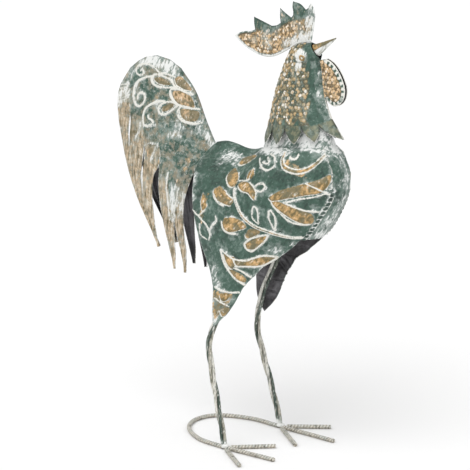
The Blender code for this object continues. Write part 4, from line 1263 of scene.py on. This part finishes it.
def neck_tables():
    """Head and neck down to the valleys between the petals, then the petals."""
    face, throat = smooth_line(FACE), smooth_line(THROAT)
    tips = smooth_line(PETAL_TIPS)

    def front(share):
        on_face = face(np.minimum(share / FACE_SHARE, 1))
        on_throat = throat(np.maximum((share - FACE_SHARE) / (1 - FACE_SHARE), 0))
        return np.where(np.asarray(share)[..., None] <= FACE_SHARE, on_face, on_throat)

    def skin(across, down):
        table = patch(smooth_line(CROWN), smooth_line(VALLEY_LINE), smooth_line(NAPE), front, across, down)
        widths = np.interp(down, np.linspace(0, 1, len(NECK_HALF_WIDTHS)), NECK_HALF_WIDTHS)
        table[:, :, 1] += widths[:, None] * lobe(across, NECK_FULLNESS)[None]
        return table

    spans = [np.linspace(start, end, steps(NECK_GIRTH * (end - start), 4) + 1)
             for start, end in zip(PETAL_EDGES, PETAL_EDGES[1:])]
    across = np.concatenate([spans[0]] + [span[1:] for span in spans[1:]])
    down = np.linspace(0, 1, steps(NECK_HEIGHT) + 1)
    tables = [(skin(across, down), across, down)]
    drop = np.linspace(0, 1, steps(PETAL_LENGTH) + 1)
    for span in spans:
        start, end = span[0], span[-1]
        centre = end if end == 1.0 else (start + end) / 2
        petal = np.zeros((len(drop), len(span), 3))
        for row, share_down in enumerate(drop):
            narrow = 1 - (1 - PETAL_POINT) * share_down ** PETAL_TAPER
            share = centre + (span - centre) * narrow
            skirt = tips(share)
            skirt[:, 1] = PETAL_HALF_WIDTH * lobe(share, PETAL_SKIRT_FULLNESS)
            petal[row] = (1 - share_down) * skin(share, np.array([1.0]))[0] + share_down * skirt
        tables.append((petal, span, drop))
    return tables


def dress_neck(table, across, down):
    """Hammered beads with a ragged border, the eye and the pale seam."""
    relief = Relief(table)
    sideways, onward = walked(table, 1), walked(table, 0)
    sideways = sideways - sideways[:, len(across) // 2][:, None]
    onward = onward[:, len(across) // 2][:, None] + 0 * onward
    ragged = (0.05 * np.sin(sideways / 3.1 + 1.3 * np.sin(onward / 7.0))
              + 0.04 * np.sin(sideways / 1.7 + onward / 5.0))
    where = soft(SMOOTH_FRONT - across[None] + 0.5 * ragged, 0.05)
    where = where * soft(BEADS_END - down[:, None] + ragged, 0.14)
    from_eye = np.hypot(relief.along - EYE[0], relief.height - EYE[1])
    where = where * soft(from_eye - EYE_RADIUS - 1.5, 1.5)
    relief.beads(sideways, onward, BEAD_PITCH, where, 3)
    relief.paint("feather", np.clip(2.5 * where, 0, 1))
    ring = np.abs(from_eye - EYE_RADIUS + 1)
    relief.lift(EYE_RING_RISE * np.sqrt(np.clip(1 - (ring / EYE_RING) ** 2, 0, 1)))
    relief.lift(PUPIL_RISE * np.sqrt(np.clip(1 - (from_eye / PUPIL_RADIUS) ** 2, 0, 1)))
    relief.paint("gold", field(1.2 - ring))
    relief.paint("cream", field(1.3 - from_eye))
    relief.paint("shade", soft(2.6 - from_eye, 0.8) * soft(from_eye - 1.6, 0.5))
    for outline, amount in FACE_WASHES:
        relief.wash(outline, amount, blur=6.0)
    to_seam = walked(table, 1)[:, -1:] - walked(table, 1)
    relief.paint("cream", field(1.3 - to_seam) * soft(down - 0.3, 0.1)[:, None])
    relief.paint("wash", 0.24 * soft(12 - to_seam, 8.0) * soft(down - 0.25, 0.1)[:, None])
    return relief


def dress_petal(table, across, down):
    """A raised pale rim, and shade along it."""
    relief = Relief(table)
    sideways = walked(table, 1)
    edge = np.minimum(sideways, sideways[:, -1:] - sideways)
    relief.paint("cream", field(0.35 - edge) * soft(down - 0.35, 0.4)[:, None])
    relief.lift(0.5 * np.clip(1 - edge / 1.2, 0, 1) * down[:, None])
    relief.paint("shade", 0.9 * np.clip(1 - edge / 3.0, 0, 1) * np.ones(len(down))[:, None])
    relief.paint("tone", np.full(sideways.shape, 0.9))
    return relief


class ROOSTER_OT_neck(bpy.types.Operator):
    """Head and neck halves with hammered beads, eyes and the petals of the hackle"""

    bl_idname = "rooster.neck"
    bl_label = "Neck and head"

    def execute(self, context):
        panels = neck_tables()
        tables = [panel[0] for panel in panels]
        on_one_side(tables)
        reliefs = [dress_petal(*panel) if index else dress_neck(*panel) for index, panel in enumerate(panels)]
        paint = painted("hackle_paint", hackle_ground, 0.18, 80)
        sheet_pair("neck", tables, reliefs, SHEET, "hackle_paint", paint)
        return {"FINISHED"}


def comb_table():
    """The comb from its foot to the teeth; each stroke has its own span of the foot."""
    outline, places = [], []
    for stroke, begin, end in zip(COMB_STROKES, COMB_FOOT_PLACES, COMB_FOOT_PLACES[1:]):
        share = np.linspace(0, 1, steps(STROKE_SPAN, 8) + 1)[:-1]
        outline.append(smooth_line(stroke)(share))
        places.append(begin + share * (end - begin))
    outline = np.vstack(outline + [np.array([COMB_STROKES[-1][-1]], float)])
    places = np.concatenate(places + [[COMB_FOOT_PLACES[-1]]])
    seat = [(along, height + SHEET + CLEARANCE) for along, _, height in CROWN]
    walk = smooth_line(COMB_FOOT + seat)(np.linspace(0, 1, 400))
    foot = np.stack([places, np.interp(places, walk[:, 0], walk[:, 1])], axis=1)
    rise = np.linspace(0, 1, steps(COMB_HEIGHT) + 1)[:, None, None]
    flat = (1 - rise) * foot[None] + rise * outline[None]
    return np.stack([flat[:, :, 0], np.zeros(flat.shape[:2]), flat[:, :, 1]], axis=2)


class ROOSTER_OT_comb(bpy.types.Operator):
    """Comb with gold beads, a pale rim and dark teeth, the same on both faces"""

    bl_idname = "rooster.comb"
    bl_label = "Comb"

    def execute(self, context):
        table = comb_table()
        foot, outline = table[0][:, (0, 2)], table[-1][:, (0, 2)]
        relief = Relief(table)
        border = np.vstack([foot, outline[::-1]])
        away, _ = distance_to(relief.along, relief.height, border)
        from_foot, _ = distance_to(relief.along, relief.height, foot)
        rim = np.sqrt(np.clip(1 - (1 - np.clip(away / COMB_ROUNDING, 0, 1)) ** 2, 0, 1))
        where = soft(away - COMB_BORDER, 1.2) * soft(TEETH_START + 6 - from_foot, 4.0)
        relief.beads(relief.along, relief.height, COMB_BEAD_PITCH, where, 11)
        relief.paint("feather", soft(away - 2.0, 2.0) * soft(TEETH_START + 7 - from_foot, 6.0))
        relief.paint("wash", 0.6 * soft(3.2 - from_foot, 4.0))
        for outline, amount in COMB_WASHES:
            relief.wash(outline, amount)
        relief.paint("wash", 0.35 * soft(1.6 - away, 1.4) * soft(TEETH_START + 2 - from_foot, 8.0))
        relief.paint("shade", soft(1.2 - away, 1.4) * soft(from_foot - TEETH_START, 8.0))
        teeth = soft(away - 1.5, 2.0) * soft(from_foot - TEETH_START - 3, 6.0)
        relief.paint("gold", 0.40 * teeth)
        relief.paint("wash", 0.16 * teeth)
        table[:, :, 1] = (COMB_SHEET / 2 + relief.rise) * rim
        one = lay_grid("comb", table, relief.masks)
        other = mirrored(one, "comb_far")
        piece = weld([one, other], "rooster_comb")
        turn_outwards(piece)
        finish_piece(piece, "comb_paint", painted("comb_paint", gilt_ground, 0.26, 70), "comb")
        return {"FINISHED"}


def across_line(centres):
    """Two directions across a line of centres, for each of its points."""
    tangents = np.gradient(centres, axis=0)
    tangents /= np.linalg.norm(tangents, axis=1)[:, None]
    first = np.cross(tangents, (0.0, 1.0, 0.0))
    first /= np.linalg.norm(first, axis=1)[:, None]
    return first, np.cross(tangents, first)


def tube_table(centres, radii, sides):
    """Rings of points round a line of centres, and the directions that they lie in."""
    first, second = across_line(centres)
    angle = np.linspace(0, 2 * np.pi, sides + 1)
    ring = np.cos(angle)[None, :, None] * first[:, None] + np.sin(angle)[None, :, None] * second[:, None]
    return centres[:, None] + radii[:, :, None] * ring, ring


def blunt_ends(table, centres):
    """Closes a tube with flat, slightly rounded ends."""
    shrink = (0.0, 0.86)
    start = [centres[0] + size * (table[0] - centres[0]) for size in shrink]
    end = [centres[-1] + size * (table[-1] - centres[-1]) for size in shrink[::-1]]
    return np.concatenate([np.array(start), table, np.array(end)], axis=0)


def closed_tube(name, centres, radii, masks_of, sides):
    """A closed tube along a line, with masks made from its table and its ring."""
    table, ring = tube_table(centres, radii, sides)
    masks = masks_of(table, ring)
    table = blunt_ends(table, centres)
    masks = {mask: np.pad(value, ((2, 2), (0, 0)), mode="edge") for mask, value in masks.items()}
    piece = weld([lay_grid(name, table, masks)], name)
    turn_outwards(piece)
    return piece


def leg_wires(side):
    """Centre lines of the three wires of a leg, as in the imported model."""
    foot_height = ROD + CLEARANCE + WIRE / 3
    line = smooth_line(LEG_LINE + [(*FOOT, foot_height)])
    centres = line(np.linspace(0, 1, WIRE_KEYS))
    centres[:, 1] *= side
    lengths = np.linalg.norm(np.diff(centres, axis=0), axis=1)
    shares = np.concatenate([[0], np.cumsum(lengths)]) / lengths.sum()
    first, second = across_line(centres)
    turned = TWIST_TURNS * np.maximum(0, shares - TWIST_START) / (1 - TWIST_START)
    spread = (WIRE + CLEARANCE) / 2 / math.sin(math.pi / 3)
    wires = []
    for number in range(3):
        angle = 2 * np.pi * (number / 3 + turned)[:, None]
        coarse = centres + spread * (np.cos(angle) * first + np.sin(angle) * second)
        wires.append(smooth_line(coarse, 6)(np.linspace(0, 1, WIRE_POINTS)))
    return wires


class ROOSTER_OT_legs(bpy.types.Operator):
    """Legs of three twisted wires, each given its own tone from dark to pale as painted shade and light"""

    bl_idname = "rooster.legs"
    bl_label = "Legs"

    def execute(self, context):
        material = painted("leg_wire", wire_ground, 0.05, 85)
        for side_name, side in (("right", -1), ("left", 1)):
            for number, centres in enumerate(leg_wires(side)):
                pits = WIRE_PITS * np.sin(centres[:, 2] * 0.9 + number)
                radii = (WIRE / 2 + pits)[:, None] * np.ones(WIRE_SIDES + 1)[None]

                def masks_of(table, ring, tone=WIRE_STRAND_LIGHT_AND_SHADE[number]):
                    masks = blank_masks(table)
                    masks["tone"] += tone
                    masks["wash"] = 0.10 + 0.5 * soft(14 - table[:, :, 2], 8.0)
                    return masks

                node = f"leg_{side_name}_wire_{number + 1}"
                piece = closed_tube("rooster_" + node, centres, radii, masks_of, WIRE_SIDES)
                finish_piece(piece, "leg_wire", material, node)
        return {"FINISHED"}


def ribbed_rod(node, points, material):
    """A rod with slanted ribs, with painted shade between them and a painted cream highlight along its top."""
    line = smooth_line(points) if len(points) > 2 else None
    ends = np.array(points, float)
    length = np.linalg.norm(np.diff(ends, axis=0), axis=1).sum()
    share = np.linspace(0, 1, int(length / ROD_SPACING) + 1)
    centres = line(share) if line else ends[0] + share[:, None] * (ends[1] - ends[0])
    angle = np.linspace(0, 2 * np.pi, ROD_SIDES + 1)
    onward = share[:, None] * length
    wave = 0.5 + 0.5 * np.sin(2 * np.pi * onward / RIB_PITCH + 2 * angle[None])
    rib = soft(wave - 0.55, 0.5)
    rise = bpy.context.scene.rooster.rib_rise / FIT
    radii = ROD / 2 * ROD_FLAT - rise + rise * rib

    def masks_of(table, ring):
        masks = blank_masks(table)
        up = ring[:, :, 2]
        # Painted light: tone and whitewash rise on the upward side as a painted highlight, and tone falls and
        # the shade mask rises between the ribs as painted shade
        masks["tone"] = np.clip(0.60 + 0.60 * up, 0, 1) * (0.30 + 0.70 * rib)
        masks["shade"] = 0.6 * (1 - rib)
        masks["wash"] = 0.30 * soft(up - 0.2, 0.6) * rib
        return masks

    piece = closed_tube("rooster_" + node, centres, radii, masks_of, ROD_SIDES)
    finish_piece(piece, "foot_rod", material, node)


class ROOSTER_OT_feet(bpy.types.Operator):
    """Ribbed toes, the hoop behind the feet and the weld beads that join them"""

    bl_idname = "rooster.feet"
    bl_label = "Feet and hoop"

    def execute(self, context):
        material = painted("foot_rod", rod_ground, 0.20)
        level = ROD / 2
        for side_name, side, toes in (("right", -1, RIGHT_TOES), ("left", 1, LEFT_TOES)):
            base = np.array([FOOT[0], side * FOOT[1], level])
            for toe, (direction, reach) in toes.items():
                angle = math.radians(direction) * -side
                heading = np.array([math.cos(angle), math.sin(angle), 0.0])
                start = base
                if toe != "middle":
                    apart = math.radians(abs(direction - toes["middle"][0]))
                    start = base + heading * (ROD / 2 * (1 + math.cos(apart)) + CLEARANCE) / math.sin(apart)
                ribbed_rod(f"toe_{side_name}_{toe}", [start, base + heading * reach], material)
            add_weld_bead(f"rooster_weld_{side_name}", base, side)
        bends = [np.array(bend, float) for bend in HOOP_BENDS]
        right, left = np.array([FOOT[0], -FOOT[1]]), np.array(FOOT)
        setback = ROD / 2 + CLEARANCE
        first = right + (bends[0] - right) / np.linalg.norm(bends[0] - right) * setback
        last = left + (bends[-1] - left) / np.linalg.norm(bends[-1] - left) * setback
        ribbed_rod("hoop", [(*bend, level) for bend in (first, *bends, last)], material)
        return {"FINISHED"}


def add_weld_bead(name, base, side):
    """Lumps of weld round the foot of a leg, painted white."""
    rng = np.random.default_rng(5 if side > 0 else 8)
    bpy.ops.object.select_all(action="DESELECT")
    bpy.ops.mesh.primitive_ico_sphere_add(subdivisions=4, radius=1.0)
    piece = bpy.context.object
    piece.name = name
    mesh = piece.data
    flat = np.empty(len(mesh.vertices) * 3, np.float32)
    mesh.vertices.foreach_get("co", flat)
    ball = flat.reshape(-1, 3)
    lumps = np.ones(len(ball))
    for _ in range(WELD_LUMPS):
        centre = rng.normal(size=3)
        centre /= np.linalg.norm(centre)
        lumps += LUMP_RISE * np.exp(-((ball - centre) ** 2).sum(axis=1) / LUMP_SPREAD)
    places = base + np.array(WELD_PLACE) + ball * lumps[:, None] * np.array(WELD_HALF_SIZE)
    places[:, 2] = np.maximum(places[:, 2], base[2] - ROD / 2 + WELD_FLOOR_GAP)
    mesh.vertices.foreach_set("co", (places * FIT + SHIFT).astype(np.float32).ravel())
    for mask in MASKS:
        layer = mesh.attributes.new(mask, "FLOAT", "POINT")
        value = {"wash": 0.75, "tone": 0.8}.get(mask, 0.0)
        layer.data.foreach_set("value", np.full(len(ball), value, np.float32))
    bpy.ops.object.shade_smooth()
    finish_piece(piece, "foot_rod", painted(name + "_paint", rod_ground, 0.1))


def mandible_table(upper):
    """Half of the beak's cone: rings from the face to the blunt tip, flat on the mouth line."""
    face = smooth_line(FACE)
    top, chin = (face(share) * (1, 0, 1) for share in ROOT_SHARES)
    tip = np.array(BEAK_TIP, float)
    inset = SHEET + 2 * CLEARANCE
    half_width = max(point[1] for point in FACE) - inset
    mouth = (1 - MOUTH_SHARE) * top + MOUTH_SHARE * chin
    far_edge = top if upper else chin
    forward = (tip - mouth) / np.linalg.norm(tip - mouth)
    up = (far_edge - mouth) / np.linalg.norm(far_edge - mouth)
    reach = np.linalg.norm(far_edge - mouth) - inset
    share = np.linspace(0, 1, 30)[:, None, None]
    size = 1 - (1 - BEAK_BLUNT) * share ** BEAK_TAPER
    centre = mouth + forward * CLEARANCE + share * (tip - mouth) + up * CLEARANCE / 2
    arc = np.linspace(0, np.pi, 19)
    outwards = np.array([0.0, 1.0, 0.0])
    arc_ring = up * reach * np.sin(arc)[:, None] + outwards * half_width * np.cos(arc)[:, None]
    mouth_ring = np.linspace(arc_ring[-1], arc_ring[0], 9)
    ring = np.concatenate([arc_ring, mouth_ring[1:]])
    table = centre + size * ring[None]
    return blunt_ends(table, np.array([centre[0, 0], centre[-1, 0]])), len(arc)


class ROOSTER_OT_beak(bpy.types.Operator):
    """Gold upper and pale lower mandible"""

    bl_idname = "rooster.beak"
    bl_label = "Beak"

    def execute(self, context):
        material = painted("beak_paint", horn_ground, 0.0)
        for name, upper in (("beak_upper", True), ("beak_lower", False)):
            table, arc_columns = mandible_table(upper)
            masks = blank_masks(table)
            masks["gold"][:] = 0.85 if upper else 0.0
            masks["wash"][:] = 0.0 if upper else 0.6
            masks["shade"][:, arc_columns:] = 0.8
            masks["shade"][:, (0, arc_columns - 1)] = 0.6
            piece = weld([lay_grid(name, table, masks)], "rooster_" + name)
            turn_outwards(piece)
            finish_piece(piece, "beak_paint", material, name)
        return {"FINISHED"}


class ROOSTER_OT_wattles(bpy.types.Operator):
    """Domed wattles with gold beads and a ribbed pale rim"""

    bl_idname = "rooster.wattles"
    bl_label = "Wattles"

    def execute(self, context):
        throat, rim = smooth_line(THROAT), smooth_line(WATTLE_RIM)
        start, end = WATTLE_INNER
        across = np.linspace(0, 1, steps(WATTLE_LENGTH) + 1)[::-1]
        down = np.linspace(0, 1, steps(WATTLE_WIDTH) + 1)
        inner = throat(start + across * (end - start))
        inner = np.stack([inner[:, 0] + SHEET + 2 * CLEARANCE, inner[:, 2]], axis=1)
        flat = (1 - down)[:, None, None] * inner[None] + down[:, None, None] * rim(across)[None]
        dome = lobe(across, WATTLE_FULLNESS)[None] * lobe(down, WATTLE_FULLNESS)[:, None]
        table = np.stack([flat[:, :, 0], WATTLE_STAND + WATTLE_DOME * dome, flat[:, :, 1]], axis=2)
        relief = Relief(table)
        to_rim, share = distance_to(relief.along, relief.height, rounded(WATTLE_RIM, 60))
        relief.beads(relief.along, relief.height, WATTLE_BEAD_PITCH, soft(to_rim - WATTLE_BORDER, 1.0), 21)
        relief.paint("feather", soft(to_rim - WATTLE_BORDER + 0.6, 1.4))
        ribs = 0.5 + 0.5 * np.sin(2 * np.pi * share * WATTLE_RIBS)
        band = soft(to_rim - 0.8, 1.0) * soft(WATTLE_BORDER - 0.4 - to_rim, 1.0)
        relief.lift(WATTLE_RIB_RISE * ribs * band)
        relief.paint("cream", field(1.6 * (ribs - 0.4)) * band)
        relief.paint("cream", field(1.1 - to_rim))
        relief.lift(WATTLE_EDGE_RISE * soft(1.4 - to_rim, 0.8))
        paint = painted("wattle_paint", gilt_ground, 0.20, 80)
        sheet_pair("wattle", [table], [relief], WATTLE_SHEET, "wattle_paint", paint)
        return {"FINISHED"}


def add_sun(name, place, spread, strength):
    """A soft distant light that comes from the direction of a place."""
    data = bpy.data.lights.new(name, "SUN")
    data.angle = math.radians(spread)
    data.energy = strength
    light = bpy.data.objects.new(name, data)
    bpy.context.scene.collection.objects.link(light)
    light.location = place
    light.rotation_euler = Vector(place).to_track_quat("Z", "Y").to_euler()


class ROOSTER_OT_stage(bpy.types.Operator):
    """Pale floor, soft studio light and the camera"""

    bl_idname = "rooster.stage"
    bl_label = "Stage"

    def execute(self, context):
        bpy.ops.object.select_all(action="DESELECT")
        bpy.ops.mesh.primitive_plane_add(size=FLOOR_SIZE, location=(0, 0, -FLOOR_DROP))
        floor = context.object
        floor.name = "floor"
        material, shader = start_material("pale_floor")[:2]
        shader.inputs["Base Color"].default_value = FLOOR_COLOUR
        shader.inputs["Roughness"].default_value = FLOOR_ROUGHNESS
        floor.data.materials.append(material)
        world = bpy.data.worlds.new("studio")
        world.use_nodes = True
        background = world.node_tree.nodes["Background"]
        background.inputs["Color"].default_value = (1, 1, 1, 1)
        background.inputs["Strength"].default_value = SKY_STRENGTH
        context.scene.world = world
        context.scene.view_settings.view_transform = "Standard"
        target = np.array(CAMERA_TARGET) * FIT + SHIFT
        add_sun("key", *KEY_SUN)
        add_sun("fill", *FILL_SUN)
        azimuth, elevation = math.radians(CAMERA_AZIMUTH), math.radians(CAMERA_ELEVATION)
        back = Vector((math.sin(azimuth) * math.cos(elevation), -math.cos(azimuth) * math.cos(elevation),
                       math.sin(elevation)))
        data = bpy.data.cameras.new("camera")
        data.lens = CAMERA_LENS
        data.sensor_width = CAMERA_SENSOR
        camera = bpy.data.objects.new("camera", data)
        context.scene.collection.objects.link(camera)
        camera.location = Vector(target) + back * CAMERA_DISTANCE
        camera.rotation_euler = (-back).to_track_quat("-Z", "Y").to_euler()
        context.scene.camera = camera
        return {"FINISHED"}


class ROOSTER_PT_panel(bpy.types.Panel):
    bl_label = "Rooster"
    bl_idname = "ROOSTER_PT_panel"
    bl_space_type = "VIEW_3D"
    bl_region_type = "UI"
    bl_category = "Rooster"

    def draw(self, context):
        settings = context.scene.rooster
        for name in RoosterSettings.__annotations__:
            self.layout.prop(settings, name)
        for operator in OPERATORS:
            self.layout.operator(operator.bl_idname)


OPERATORS = (ROOSTER_OT_body, ROOSTER_OT_tail, ROOSTER_OT_neck, ROOSTER_OT_comb, ROOSTER_OT_beak,
             ROOSTER_OT_wattles, ROOSTER_OT_legs, ROOSTER_OT_feet, ROOSTER_OT_stage)
CLASSES = (RoosterSettings, *OPERATORS, ROOSTER_PT_panel)


def register():
    for cls in CLASSES:
        bpy.utils.register_class(cls)
    bpy.types.Scene.rooster = bpy.props.PointerProperty(type=RoosterSettings)


def unregister():
    del bpy.types.Scene.rooster
    for cls in reversed(CLASSES):
        bpy.utils.unregister_class(cls)


def main():
    """Builds every piece and the stage."""
    register()
    bpy.ops.rooster.body()
    bpy.ops.rooster.tail()
    bpy.ops.rooster.neck()
    bpy.ops.rooster.comb()
    bpy.ops.rooster.beak()
    bpy.ops.rooster.wattles()
    bpy.ops.rooster.legs()
    bpy.ops.rooster.feet()
    bpy.ops.rooster.stage()


if __name__ == "__main__":
    main()
